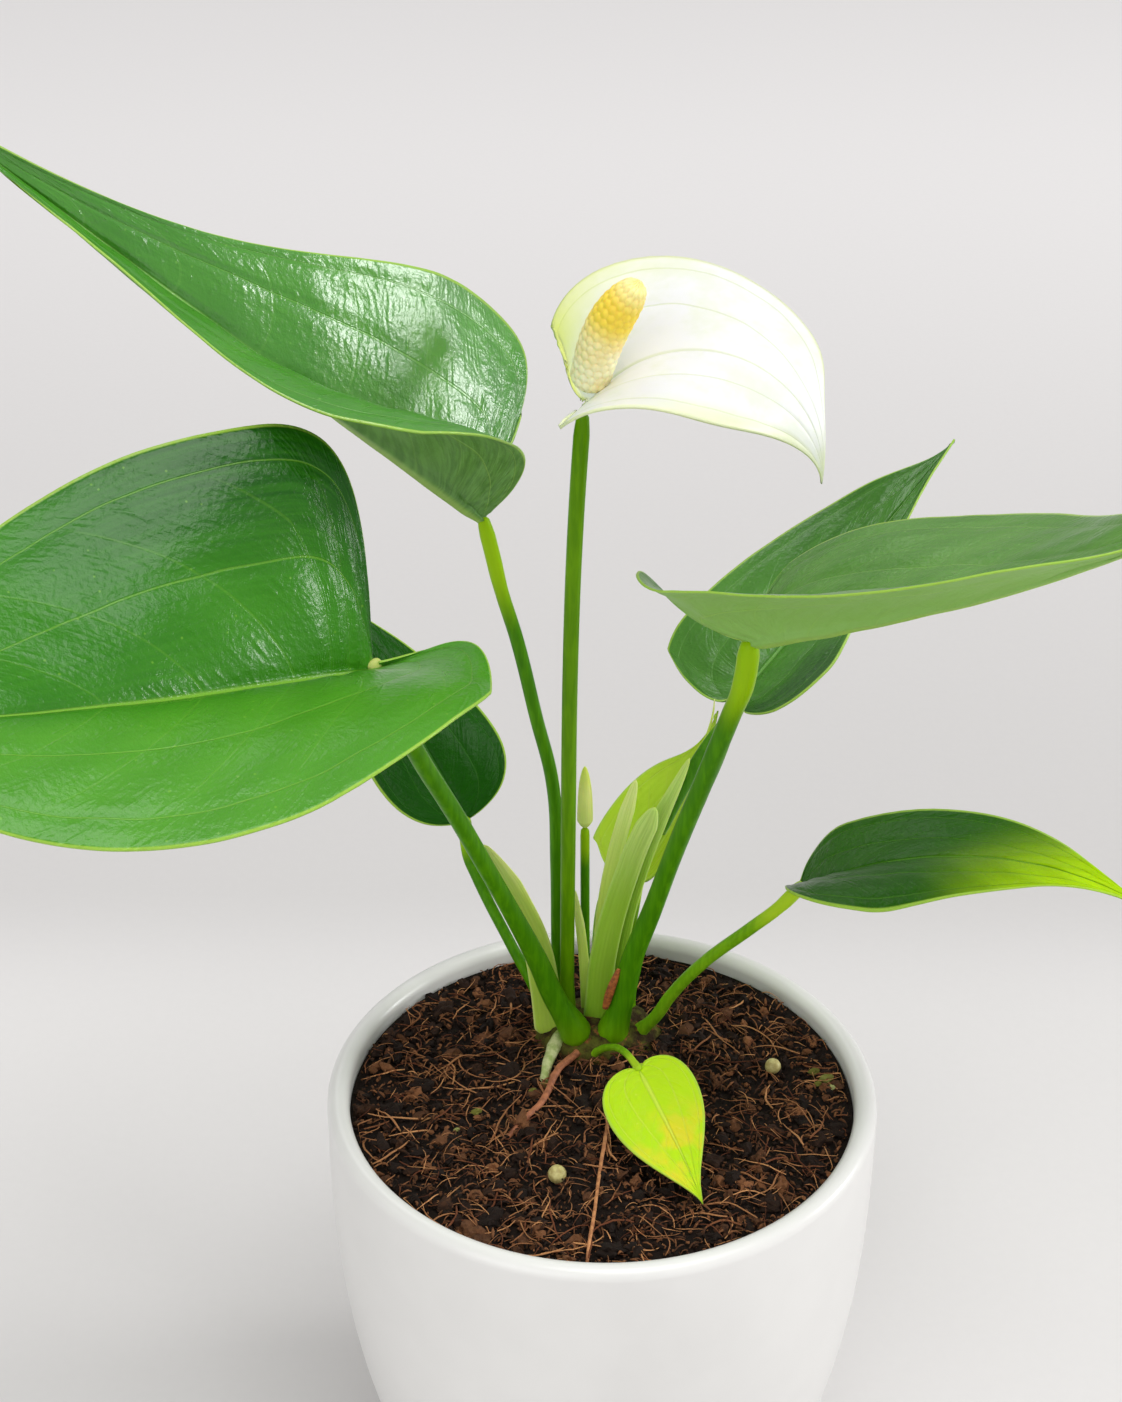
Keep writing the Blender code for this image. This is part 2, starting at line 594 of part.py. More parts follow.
def build():
    looks = make_materials()
    make_pot(looks["ceramic"])
    soil = make_soil(looks["soil"])
    crown = make_crown("crown", PLANT, looks["crown"])
    subtract(soil, make_crown("hole_crown", CUTTERS, grow=GAP * 1.3))

    for name, leaf in LEAVES.items():
        young = name in ("front_small", "young")
        make_blade(f"leaf_{name}", leaf, looks["young_leaf" if young else "leaf"])
        low, high, route = LEAF_STALKS[name]
        full = list(route) + [below_blade(route[-1], leaf["attach"], STALK_ENDS[name])]
        make_tube(f"stalk_{name}", full, (low, high), PLANT, looks["stalk"])
        subtract(crown, make_tube(f"socket_{name}", longer(full), (low, high), CUTTERS, grow=GAP))

    for name, (low, high, route) in {"flower_stalk": PEDUNCLE, "bud_stalk": BUD_STALK}.items():
        make_tube(name, route, (low, high), PLANT, looks["stalk"])
        subtract(crown, make_tube(f"socket_{name}", longer(route), (low, high), CUTTERS, grow=GAP))

    for name, (low, high, track) in ROOTS.items():
        route = [(x, y, soil_height(x * MM, y * MM) / MM + over) for x, y, over in track]
        look = looks["bract" if name == "root_pale" else "root"]
        make_tube(name, route, (low, high), PLANT, look, sides=1)
        channel = make_tube(f"channel_{name}", longer(route), (low, high), CUTTERS, grow=GAP * 1.3, sides=1)
        subtract(soil, channel)
        if name != "root_thin":
            subtract(crown, channel)

    for name, (wide, deep, route) in BRACTS.items():
        sizes = (wide * MM, deep * MM)
        spindle(name, route, sizes, bract_swell, PLANT, looks["bract"])
        socket = spindle(f"socket_{name}", longer(route, 1.2), sizes, bract_swell, CUTTERS, grow=1.2 * GAP)
        subtract(crown, socket)

    size, axis = BUD
    spindle("flower_bud", axis, (size * MM, size * MM), bud_swell, PLANT, looks["bract"])

    size, axis = SPADIX

    def floret(row, column):
        return FLORET_RELIEF * (1 if (row + column) % 2 else -1)

    spindle(
        "spadix", axis, (size * MM, size * MM), spadix_swell, PLANT, looks["spadix"],
        rows=FLORET_ROWS, columns=2 * FLORETS_ROUND, relief=floret,
    )
    make_blade("spathe", SPATHE, looks["spathe"], SPATHE_THICKNESS, SPATHE_THICKNESS)

    for name, (centre, radius) in PELLETS.items():
        make_pellet(name, centre, radius, PLANT, looks["pellet"])
        subtract(soil, make_pellet(f"dimple_{name}", centre, radius + 0.5, CUTTERS))


PLANT, CUTTERS = start_scene()
build()
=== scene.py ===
# %% [markdown]
# # A flowering anthurium in a white pot
#
# The construction of this plant is already packed as solids at their real size. This lesson dresses them:
# every leaf, stalk and flower gets its living surface, the pot its glaze and the potting mix its crumbs and
# fibres. Most pieces of a plant are curved sheets or tapering tubes, so one tool makes nearly all of them:
# a flat grid, added as a primitive, whose vertices are moved onto the surface by a short formula.

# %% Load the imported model
import random
from math import cos, exp, pi, radians, sin, tau

import bpy
import numpy as np
from mathutils import Matrix, Vector, noise


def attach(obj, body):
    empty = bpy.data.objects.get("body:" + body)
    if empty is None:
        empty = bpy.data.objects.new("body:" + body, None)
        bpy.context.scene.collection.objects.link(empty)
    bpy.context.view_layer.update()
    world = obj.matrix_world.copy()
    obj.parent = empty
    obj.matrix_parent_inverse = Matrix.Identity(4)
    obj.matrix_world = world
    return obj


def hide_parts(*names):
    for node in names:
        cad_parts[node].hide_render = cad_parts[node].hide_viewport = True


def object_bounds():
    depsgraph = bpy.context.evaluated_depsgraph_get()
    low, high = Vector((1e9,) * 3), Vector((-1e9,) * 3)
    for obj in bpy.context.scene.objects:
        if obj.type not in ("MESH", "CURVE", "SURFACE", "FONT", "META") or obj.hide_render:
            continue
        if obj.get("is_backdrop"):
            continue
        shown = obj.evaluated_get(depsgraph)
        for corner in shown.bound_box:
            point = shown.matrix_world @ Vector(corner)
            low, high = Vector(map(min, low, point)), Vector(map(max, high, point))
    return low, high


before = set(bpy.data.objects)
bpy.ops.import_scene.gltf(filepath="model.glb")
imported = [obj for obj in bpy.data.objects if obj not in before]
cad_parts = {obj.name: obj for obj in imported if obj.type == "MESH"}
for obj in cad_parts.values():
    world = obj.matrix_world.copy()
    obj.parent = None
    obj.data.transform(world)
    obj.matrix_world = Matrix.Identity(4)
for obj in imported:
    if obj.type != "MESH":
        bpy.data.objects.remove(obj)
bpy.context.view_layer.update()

MM = 0.001

# %% [markdown]
# ## Camera
#
# The photograph looks down at the plant from the front, by about 29 degrees. Its focal length and place
# were worked out from the ellipse of the pot's rim, so the camera is set first and every piece is judged
# through it.

# %% Camera
LENS_MM = 60
CAMERA_PLACE = Vector((-0.010, -0.4566, 0.4878))
CAMERA_PITCH = radians(29.2)

bpy.ops.object.camera_add(location=CAMERA_PLACE, rotation=(pi / 2 - CAMERA_PITCH, 0, 0))
camera = bpy.context.object
camera.data.lens = LENS_MM
bpy.context.scene.camera = camera
print("camera at", [round(value, 3) for value in camera.location])

# %% [markdown]
# ## Helpers for materials
#
# A material here is one Principled shader fed by a few texture and math nodes. Two small helpers keep the
# node code readable: `add` makes a node and fills its inputs, and `srgb` lets colours be written as on a
# colour picker.


# %% Material helpers
def srgb(red, green, blue):
    """A colour picker's 0 to 255 values as the linear colour that shaders work in."""
    parts = [value / 255 for value in (red, green, blue)]
    linear = [part / 12.92 if part <= 0.04045 else ((part + 0.055) / 1.055) ** 2.4 for part in parts]
    return (*linear, 1.0)


def new_material(name, roughness=0.5):
    material = bpy.data.materials.new(name)
    material.use_nodes = True
    shader = material.node_tree.nodes["Principled BSDF"]
    shader.inputs["Roughness"].default_value = roughness
    return material, shader


def add(material, kind, inputs, **settings):
    """Adds a node. An input takes a value, or reads another node's output."""
    node = material.node_tree.nodes.new("ShaderNode" + kind)
    for name, value in settings.items():
        setattr(node, name, value)
    for name, value in inputs.items():
        if isinstance(value, bpy.types.NodeSocket):
            material.node_tree.links.new(value, node.inputs[name])
        else:
            node.inputs[name].default_value = value
    return node


def calc(material, operation, first, second=0.0, third=0.0):
    return add(material, "Math", {0: first, 1: second, 2: third}, operation=operation).outputs[0]


def blend(material, share, first, second, mode="MIX"):
    """Mixes two colours; share is how much of the second one shows."""
    node = add(material, "Mix", {0: share, 6: first, 7: second}, data_type="RGBA", blend_type=mode)
    return node.outputs[2]


def fade(material, value, low, high, start=0.0, end=1.0):
    """Turns a value between low and high into one between start and end, with a soft step."""
    inputs = {"Value": value, "From Min": low, "From Max": high, "To Min": start, "To Max": end}
    node = add(material, "MapRange", inputs, interpolation_type="SMOOTHSTEP")
    return node.outputs["Result"]


def speckle(material, coordinates, scale, detail=4.0, rough=0.6):
    """A noise texture's grey value; scale is in features per metre."""
    inputs = {"Vector": coordinates, "Scale": scale, "Detail": detail, "Roughness": rough}
    return add(material, "TexNoise", inputs).outputs[0]


def object_coordinates(material):
    return add(material, "TexCoord", {}).outputs["Object"]


def connect(material, shader, colour=None, roughness=None, height=None, bump=1.0, distance=MM):
    """Feeds the shader's colour, roughness and bump."""
    links = material.node_tree.links
    if colour is not None:
        links.new(colour, shader.inputs["Base Color"])
    if roughness is not None:
        links.new(roughness, shader.inputs["Roughness"])
    if height is not None:
        node = add(material, "Bump", {"Height": height, "Strength": bump, "Distance": distance})
        links.new(node.outputs["Normal"], shader.inputs["Normal"])


print("white is", srgb(255, 255, 255))

# %% [markdown]
# ## Floor and light
#
# The photograph is made in a bright studio: a pale grey sweep with no edge, a window-like light on the
# right that glances off the leaves, broad soft lights overhead, behind and in front, and a little light
# from all round. All lights stand far off, so the floor stays even. The sweep here is one wide floor, whose
# tone changes softly behind the pot, where the real sweep turns up into the wall; a band of painted shade
# darkens it there, where the crease of the real sweep lies in shade. Beyond the floor the camera sees the
# wall's grey, while the pieces get the dimmer light of the room.

# %% Floor
SWEEP_TURN = 0.227
SWEEP_SIZE = 9.0
FLOOR_GREY = srgb(217, 215, 214)
WALL_GREY = srgb(227, 225, 225)

bpy.ops.object.select_all(action="DESELECT")
bpy.ops.mesh.primitive_plane_add(size=SWEEP_SIZE, location=(0, 0, 0))
floor = bpy.context.object
floor.name = "floor"
sweep, sweep_shader = new_material("pale_sweep", roughness=0.9)
place = object_coordinates(sweep)
depth = add(sweep, "SeparateXYZ", {0: place}).outputs["Y"]
turn = fade(sweep, depth, SWEEP_TURN - 0.05, SWEEP_TURN + 0.05)
# Painted shade: a darker grey band starts at the turn and fades out further back. It stands in for the shade
# in the crease of the real sweep.
painted_crease_shade = calc(sweep, "MULTIPLY", turn, fade(sweep, depth, SWEEP_TURN + 1.1, SWEEP_TURN))
tone = blend(sweep, turn, FLOOR_GREY, WALL_GREY)
tone = blend(sweep, calc(sweep, "MULTIPLY", painted_crease_shade, 0.9), tone, srgb(199, 197, 196))
grain = fade(sweep, speckle(sweep, place, 300), 0.3, 0.7, 0.99, 1.0)
dust = add(sweep, "CombineColor", {0: grain, 1: grain, 2: grain}).outputs[0]
away = fade(sweep, add(sweep, "VectorMath", {0: place}, operation="LENGTH").outputs["Value"], 1.9, 3.4)
lit = blend(sweep, away, blend(sweep, 1.0, tone, dust, "MULTIPLY"), srgb(0, 0, 0))
connect(sweep, sweep_shader, colour=lit)
sweep_shader.inputs["Emission Color"].default_value = WALL_GREY
sweep.node_tree.links.new(away, sweep_shader.inputs["Emission Strength"])
sweep_shader.inputs["Specular IOR Level"].default_value = 0.1
floor.data.materials.append(sweep)
floor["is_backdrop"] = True

# %% Lights
TARGET = Vector((0, 0, 0.22))
LIGHTS = {
    "window": dict(place=(3.30, 0.45, 1.05), size=0.80, power=44.0),
    "overhead": dict(place=(0.70, -0.85, 4.0), size=2.8, power=98.0),
    "back": dict(place=(-1.2, 2.9, 3.2), size=1.6, power=16.0),
    "front_fill": dict(place=(-1.6, -2.6, 1.6), size=2.4, power=30.0),
}
WORLD_STRENGTH = 0.46

for name, values in LIGHTS.items():
    bpy.ops.object.light_add(type="AREA", location=values["place"])
    light = bpy.context.object
    light.name = name
    light.data.size = values["size"]
    light.data.energy = values["power"]
    light.rotation_euler = (TARGET - light.location).to_track_quat("-Z", "Y").to_euler()
world = bpy.data.worlds.new("studio")
bpy.context.scene.world = world
world.use_nodes = True
nodes, links = world.node_tree.nodes, world.node_tree.links
nodes["Background"].inputs["Color"].default_value = srgb(254, 253, 252)
nodes["Background"].inputs["Strength"].default_value = WORLD_STRENGTH
wall = nodes.new("ShaderNodeBackground")
wall.inputs["Color"].default_value = WALL_GREY
seen = nodes.new("ShaderNodeMixShader")
links.new(nodes.new("ShaderNodeLightPath").outputs["Is Camera Ray"], seen.inputs[0])
links.new(nodes["Background"].outputs[0], seen.inputs[1])
links.new(wall.outputs[0], seen.inputs[2])
links.new(seen.outputs[0], nodes["World Output"].inputs["Surface"])
bpy.context.scene.view_settings.view_transform = "Standard"
print("lights:", sorted(LIGHTS))

# %% [markdown]
# ## The grid tool
#
# A grid primitive has a natural pair of coordinates: u along it and v across. Moving each vertex to a
# formula of u and v turns the grid into a blade, a tube or a bud, and its UV map still holds u and v, so
# veins and colour changes can follow the surface. Where two edges of the grid meet, their vertices are
# merged.


# %% The grid tool
def clear_selection():
    bpy.ops.object.select_all(action="DESELECT")


def moved_grid(name, rows, columns, place, closed=True):
    clear_selection()
    bpy.ops.mesh.primitive_grid_add(x_subdivisions=rows, y_subdivisions=columns, size=1)
    piece = bpy.context.object
    piece.name = name
    for vertex in piece.data.vertices:
        vertex.co = place(vertex.co.x + 0.5, vertex.co.y + 0.5)
    bpy.ops.object.mode_set(mode="EDIT")
    bpy.ops.mesh.select_all(action="SELECT")
    bpy.ops.mesh.remove_doubles(threshold=1e-6)
    if closed:
        bpy.ops.mesh.normals_make_consistent(inside=False)
    bpy.ops.object.mode_set(mode="OBJECT")
    bpy.ops.object.shade_smooth()
    return piece


def push_out(piece, height):
    """Moves every vertex along its normal by height(vertex), in metres."""
    normals = [vertex.normal.copy() for vertex in piece.data.vertices]
    for vertex, normal in zip(piece.data.vertices, normals):
        vertex.co = vertex.co + normal * height(vertex)


def apply_modifiers(piece):
    bpy.context.view_layer.objects.active = piece
    for modifier in list(piece.modifiers):
        bpy.ops.object.modifier_apply(modifier=modifier.name)


def keep(piece, material, slot, *nodes):
    """Finishes a piece: its material, its place under the root body, and the solids that it stands for. The
    slot is not used.
    """
    piece.data.name = piece.name
    piece.data.materials.clear()
    piece.data.materials.append(material)
    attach(piece, "root")
    if nodes:
        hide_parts(*nodes)
    print(f"{piece.name}: {len(piece.data.polygons)} faces")
    return piece


def smooth_step(share):
    share = min(max(share, 0.0), 1.0)
    return share * share * (3 - 2 * share)


def bezier(points, share):
    a, b, c, d = (Vector(p) for p in points)
    rest = 1 - share
    return rest**3 * a + 3 * rest**2 * share * b + 3 * rest * share**2 * c + share**3 * d


# %% [markdown]
# ## Pot
#
# The pot was cast in a plaster mould, so its wall is one even shell that rolls over into a soft lip. In
# Blender that is a profile turned round the upright axis: a few vertices are placed along the wall, and the
# Spin operator carries them round. The glaze is white and satin, with a hardly visible ripple from the
# dipping.

# %% Pot dimensions
POT_HEIGHT = 0.125
RIM_RADIUS = 0.0675
BASE_RADIUS = 0.048
LIP_THICKNESS = 0.0055
FLOOR_THICKNESS = 0.007
SHOULDER = 0.108
FOOT_ROUND = 0.003


def wall_curve(inset, bottom, count):
    """The pot's wall from shoulder to bottom, moved inwards by inset."""
    ends = [
        (RIM_RADIUS - inset, SHOULDER),
        (RIM_RADIUS - inset, SHOULDER * 0.57),
        (RIM_RADIUS * 0.89 - inset, bottom + POT_HEIGHT * 0.22),
        (BASE_RADIUS - inset, bottom),
    ]
    return [tuple(bezier(ends, i / count)) for i in range(count + 1)]


def pot_profile():
    half_lip = LIP_THICKNESS / 2
    middle, top = RIM_RADIUS - half_lip, POT_HEIGHT - half_lip
    lip = [(middle - half_lip * cos(pi * i / 16), top + half_lip * sin(pi * i / 16)) for i in range(17)]
    inner = wall_curve(LIP_THICKNESS, FLOOR_THICKNESS, 24)
    outer = wall_curve(0.0, FOOT_ROUND, 32)
    foot = [
        (
            BASE_RADIUS - FOOT_ROUND * (0.1 + 1.5 * (1 - cos(pi / 2 * i / 5))),
            FOOT_ROUND * (1 - sin(pi / 2 * i / 5)),
        )
        for i in range(1, 6)
    ]
    return [(0.0, FLOOR_THICKNESS)] + inner[::-1] + lip + outer + foot + [(0.0, 0.0)]


# %% Turn the pot
POT_TURNS = 144

clear_selection()
bpy.ops.mesh.primitive_plane_add(size=1)
pot = bpy.context.object
pot.name = "glazed_pot"
profile = pot_profile()
bpy.ops.object.mode_set(mode="EDIT")
bpy.ops.mesh.delete(type="VERT")
bpy.ops.object.mode_set(mode="OBJECT")
pot.data.vertices.add(len(profile))
pot.data.edges.add(len(profile) - 1)
for vertex, (radius, height) in zip(pot.data.vertices, profile):
    vertex.co = (radius, 0, height)
for i, edge in enumerate(pot.data.edges):
    edge.vertices = (i, i + 1)
bpy.ops.object.mode_set(mode="EDIT")
bpy.ops.mesh.select_all(action="SELECT")
bpy.ops.mesh.spin(steps=POT_TURNS, angle=tau, center=(0, 0, 0), axis=(0, 0, 1))
bpy.ops.mesh.select_all(action="SELECT")
bpy.ops.mesh.remove_doubles(threshold=1e-6)
bpy.ops.mesh.normals_make_consistent(inside=False)
bpy.ops.object.mode_set(mode="OBJECT")
bpy.ops.object.shade_smooth_by_angle(angle=radians(40))
print("pot height in mm:", round(POT_HEIGHT / MM))

# %% Glaze
glaze, glaze_shader = new_material("white_glaze")
place = object_coordinates(glaze)
cloud = speckle(glaze, place, 45, detail=2.0)
white = blend(glaze, fade(glaze, cloud, 0.3, 0.7), srgb(231, 230, 228), srgb(234, 233, 231))
orange_peel = speckle(glaze, place, 160, detail=1.0, rough=0.5)
satin = fade(glaze, cloud, 0.3, 0.7, 0.30, 0.34)
connect(glaze, glaze_shader, colour=white, roughness=satin, height=orange_peel, bump=0.03, distance=0.0003)
glaze_shader.inputs["Coat Weight"].default_value = 0.2
glaze_shader.inputs["Coat Roughness"].default_value = 0.12
keep(pot, glaze, "ceramic", "pot")

# %% [markdown]
# ## Leaves
#
# An anthurium leaf is a heart-shaped blade, folded a little along its midrib, with its lobes curling up
# beside the stalk. The same few numbers as in the solid describe each leaf: where the stalk meets the
# blade, the way the midrib runs, and the outline. Side veins spring from the stalk too: one runs half way
# out, and one follows the margin, so in u and v they are almost straight lines, which makes both their
# grooves and their colour easy.

# %% Leaf dimensions
# The stalk meets the blade at attach, in millimetres. heading, pitch and roll turn the midrib, fold raises
# both halves and bend curves the midrib down. sweep turns the heading towards the tip, and twist adds to
# the roll. lobe, widest, full and point shape the outline as shares of the length, and notch beside the
# stalk. right holds the right half's own values.
LEAVES = {
    "upper_left": dict(
        attach=(-27.3, 15.0, 270.7), heading=200, sweep=-14, pitch=43, bend=1, roll=-4, twist=-30,
        length=0.143, width=0.066, lobe=0.0, widest=0.28, full=0.15, point=0.25, notch=0.02,
        fold_base=85, fold_tip=20, curl=60, lobe_curl=35, wave=0.0012,
        right=dict(
            width=0.098, lobe=0.0, widest=0.10, full=0.15, point=0.19, notch=0.60,
            fold_base=52, fold_tip=45, curl=13,
        ),
    ),
    "front_left": dict(
        attach=(-48.6, -30.0, 257.2), heading=223, sweep=-25, pitch=13, bend=0, roll=-18, twist=-20,
        length=0.142, width=0.088, lobe=0.157, widest=0.31, full=0.40, point=0.08, notch=0.02,
        fold_base=45, fold_tip=16, curl=30, lobe_curl=40, wave=0.0015,
        right=dict(
            width=0.107, lobe=0.0, widest=0.13, full=0.60, notch=0.49,
            fold_base=55, fold_tip=0, curl=14, lobe_curl=35,
        ),
    ),
    "back_left": dict(
        attach=(-34.3, 50.0, 169.8), heading=127, sweep=0, pitch=37, bend=3, roll=-16, twist=10,
        length=0.071, width=0.036, lobe=0.0, widest=0.28, full=0.55, point=0.16, notch=0.05,
        fold_base=23, fold_tip=14, curl=12, lobe_curl=20, wave=0.0,
        right=dict(width=0.037, widest=0.26, point=0.06, notch=0.02, fold_base=26, fold_tip=0, curl=21),
    ),
    "back_right": dict(
        attach=(34.4, 55.0, 202.7), heading=38, sweep=8, pitch=36, bend=6, roll=-3, twist=25,
        length=0.090, width=0.052, lobe=0.10, widest=0.10, full=0.79, point=0.12, notch=0.02,
        fold_base=33, fold_tip=0, curl=25, lobe_curl=45, wave=0.0008,
        right=dict(
            width=0.046, lobe=0.05, widest=0.17, full=0.17, point=0.25, notch=0.31,
            fold_base=17, fold_tip=20, curl=-5, lobe_curl=25,
        ),
    ),
    "right": dict(
        attach=(31.3, -5.0, 250.2), heading=-42, sweep=21, pitch=25, bend=-10, roll=-25, twist=25,
        length=0.119, width=0.070, lobe=0.02, widest=0.34, full=0.68, point=0.13, notch=0.60,
        fold_base=63, fold_tip=25, curl=21, lobe_curl=15, wave=0.0010,
        right=dict(
            width=0.056, lobe=0.23, widest=0.23, full=0.77, point=0.10,
            fold_base=36, fold_tip=26, curl=40, lobe_curl=11,
        ),
    ),
    "lower_right": dict(
        attach=(45.6, -5.0, 186.3), heading=-15, sweep=-30, pitch=34, bend=47, roll=-12, twist=25,
        length=0.086, width=0.036, lobe=0.0, widest=0.11, full=0.87, point=0.20, notch=0.23,
        fold_base=14, fold_tip=-4, curl=-10, lobe_curl=21, wave=0.0006,
        right=dict(
            width=0.050, widest=0.25, full=0.26, notch=0.02, fold_base=26, fold_tip=3, curl=25,
        ),
    ),
    "front_small": dict(
        attach=(8.7, -5.0, 133.4), heading=-69, sweep=-8, pitch=-10, bend=-3, roll=9, twist=5,
        length=0.044, width=0.022, lobe=0.035, widest=0.22, full=0.41, point=0.13, notch=0.07,
        fold_base=12, fold_tip=9, curl=6, lobe_curl=6, wave=0.0,
        right=dict(
            width=0.025, lobe=0.03, widest=0.26, full=0.50, point=0.06, notch=0.02,
            fold_base=1, fold_tip=6, curl=11,
        ),
    ),
    "young": dict(
        attach=(10.3, 45.0, 156.3), heading=28, sweep=7, pitch=50, bend=-25, roll=-13, twist=7,
        length=0.048, width=0.034, lobe=0.18, widest=0.26, full=0.59, point=0.19, notch=0.48,
        fold_base=49, fold_tip=16, curl=5, lobe_curl=45, wave=0.0,
        right=dict(
            width=0.022, lobe=0.02, full=0.50, notch=0.05, fold_base=15, fold_tip=26, curl=9, lobe_curl=19,
        ),
    ),
}
SINUS = 0.0010
LOBE_SHARE = 5 / 14
LOBE_RIB = 0.10
WAVES = 5.0
print("leaves:", len(LEAVES))


# %% Where a point of a blade lies
def half_of(leaf, side):
    """The values of one half of a blade; right replaces those that differ on its right half."""
    return dict(leaf, **leaf["right"]) if side < 0 else leaf


def half_outline(leaf, side, u):
    """The outline of one half of a blade, from the stalk round the lobe to the tip."""
    half = half_of(leaf, side)
    length, width = leaf["length"], half["width"] / 2
    lobe, widest, point = half["lobe"] * length, half["widest"] * length, half["point"] * length
    if u <= LOBE_SHARE:
        back = [
            (0, SINUS), (-1.45 * lobe, SINUS + half["notch"] * width),
            (-1.15 * lobe - 0.02 * length, width), (widest, width),
        ]
        return bezier(back, u / LOBE_SHARE)
    front = [
        (widest, width), (widest + half["full"] * (length - widest), width),
        (length - 2.2 * point, 0.22 * point), (length, 0),
    ]
    return bezier(front, (u - LOBE_SHARE) / (1 - LOBE_SHARE))


def midrib_frames(leaf, count=96):
    """Points and directions along the curved midrib: place, forward, left and up."""
    place = Vector(leaf["attach"]) * MM
    frames, previous = [], None
    for i in range(count + 1):
        share = i / count
        heading = radians(leaf["heading"] + leaf["sweep"] * share**2)
        left = Vector((-sin(heading), cos(heading), 0))
        pitch = radians(leaf["pitch"] - leaf["bend"] * share ** leaf.get("bend_power", 1.0))
        forward = Vector((cos(heading) * cos(pitch), sin(heading) * cos(pitch), sin(pitch)))
        turn = Matrix.Rotation(radians(leaf["roll"] + leaf["twist"] * share), 3, forward)
        if previous is not None:
            place = place + (forward + previous) / 2 * leaf["length"] / count
        previous = forward
        frames.append((place, forward, turn @ left, turn @ forward.cross(left)))
    return frames


def blade_point(leaf, frames, u, across):
    """u runs from the stalk to the tip, and across from -1 at the right margin to 1 at the left one."""
    length, side, reach = leaf["length"], (1 if across > 0 else -1), abs(across)
    if u <= LOBE_SHARE:
        rib = length * LOBE_RIB * u / LOBE_SHARE
    else:
        rib = length * (LOBE_RIB + (1 - LOBE_RIB) * (u - LOBE_SHARE) / (1 - LOBE_SHARE))
    edge_x, edge_y = half_outline(leaf, side, u)
    x = rib + (edge_x - rib) * reach
    y = edge_y * reach
    share = x / length
    step = min(max(share, 0.0), 1.0) * (len(frames) - 1)
    low = min(int(step), len(frames) - 2)
    place, forward, left, up = (a.lerp(b, step - low) for a, b in zip(frames[low], frames[low + 1]))
    half = half_of(leaf, side)
    fold = radians(half["fold_base"] + (half["fold_tip"] - half["fold_base"]) * smooth_step(share / 0.7))
    bow = radians(half["curl"]) / (leaf["width"] / 2)
    out = (sin(fold) - sin(fold - bow * y)) / bow
    rise = (cos(fold - bow * y) - cos(fold)) / bow
    if share < 0:
        roll_back = radians(half["lobe_curl"]) / (max(leaf["lobe"], 0.05) * length)
        turn = roll_back * -x
        place = place - forward * (sin(turn) / roll_back) + up * ((1 - cos(turn)) / roll_back)
        up = up * cos(turn) + forward * sin(turn)
    rise += leaf["wave"] * sin(WAVES * pi * u + side) * reach**3
    return place + left * out * side + up * rise


# %% [markdown]
# ### Relief of a blade
#
# The upper face sinks along the veins and swells between them. That relief is real shape on the larger
# leaves: it breaks up the long highlights. It is a formula of u and v that pushes the sheet along its
# normals, and a Solidify modifier then gives the sheet its thickness, with a thicker rib below the midrib.

# %% Vein layout
INNER_VEIN = 0.46
MARGIN_VEIN = 0.85
SIDE_VEINS = 9
VEIN_LEAN = 0.16
RIB_SIZE = 0.0016
BLADE_THICKNESS = 0.0005


def bell(value, middle, width):
    return exp(-(((value - middle) / width) ** 2))


def blade_relief(u, reach, size):
    """How far the upper face stands out, in metres; size is 1 on the largest leaves."""
    body = smooth_step(u / 0.15) * smooth_step((1 - u) / 0.2)
    grooves = 0.55 * bell(reach, 0, 0.045) + 0.30 * bell(reach, INNER_VEIN, 0.05)
    grooves += 0.22 * bell(reach, MARGIN_VEIN, 0.04)
    quilts = 0.16 * cos(tau * SIDE_VEINS * (u - VEIN_LEAN * reach**1.4))
    quilts *= smooth_step(reach / 0.1) * (1 - reach**4)
    return (quilts - grooves) * body * size * MM


# %% Build a blade
def thicken(sheet, thickness, rib, group_name="rib"):
    """Thickens a sheet on its underside, and marks upper face, underside and edge for the material."""
    faces = len(sheet.data.polygons)
    solid = sheet.modifiers.new("thickness", "SOLIDIFY")
    solid.thickness = rib
    solid.offset = -1
    solid.vertex_group = group_name
    solid.thickness_vertex_group = thickness / rib
    solid.use_rim = True
    apply_modifiers(sheet)
    sides = sheet.data.attributes.new("side", "FLOAT", "FACE")
    for i, side in enumerate(sides.data):
        side.value = 0.0 if i < faces else (1.0 if i < 2 * faces else 0.5)


def make_blade(name, leaf, rows, columns, thickness=BLADE_THICKNESS, rib=RIB_SIZE, ripple=0.35,
               relief=blade_relief):
    frames = midrib_frames(leaf)
    places = {}

    def place(u, v):
        point = blade_point(leaf, frames, u, 2 * v - 1)
        places[tuple(round(part, 7) for part in point)] = (u, abs(2 * v - 1))
        return point

    sheet = moved_grid(name, rows, columns, place, closed=False)
    size = min(1.0, leaf["length"] / 0.13)
    spots = [places.get(tuple(round(part, 7) for part in vertex.co), None) for vertex in sheet.data.vertices]
    group = sheet.vertex_groups.new(name="rib")

    def height(vertex):
        u, reach = spots[vertex.index] or (0.0, 0.0)
        swell = noise.noise(vertex.co * 55) + 0.5 * noise.noise(vertex.co * 130)
        return relief(u, reach, size) + ripple * MM * size * swell * smooth_step(u / 0.1)

    for vertex in sheet.data.vertices:
        u, reach = spots[vertex.index] or (0.0, 0.0)
        group.add([vertex.index], max(0.0, 1 - u) * bell(reach, 0, 0.035), "REPLACE")
    push_out(sheet, height)
    thicken(sheet, thickness, rib)
    return sheet
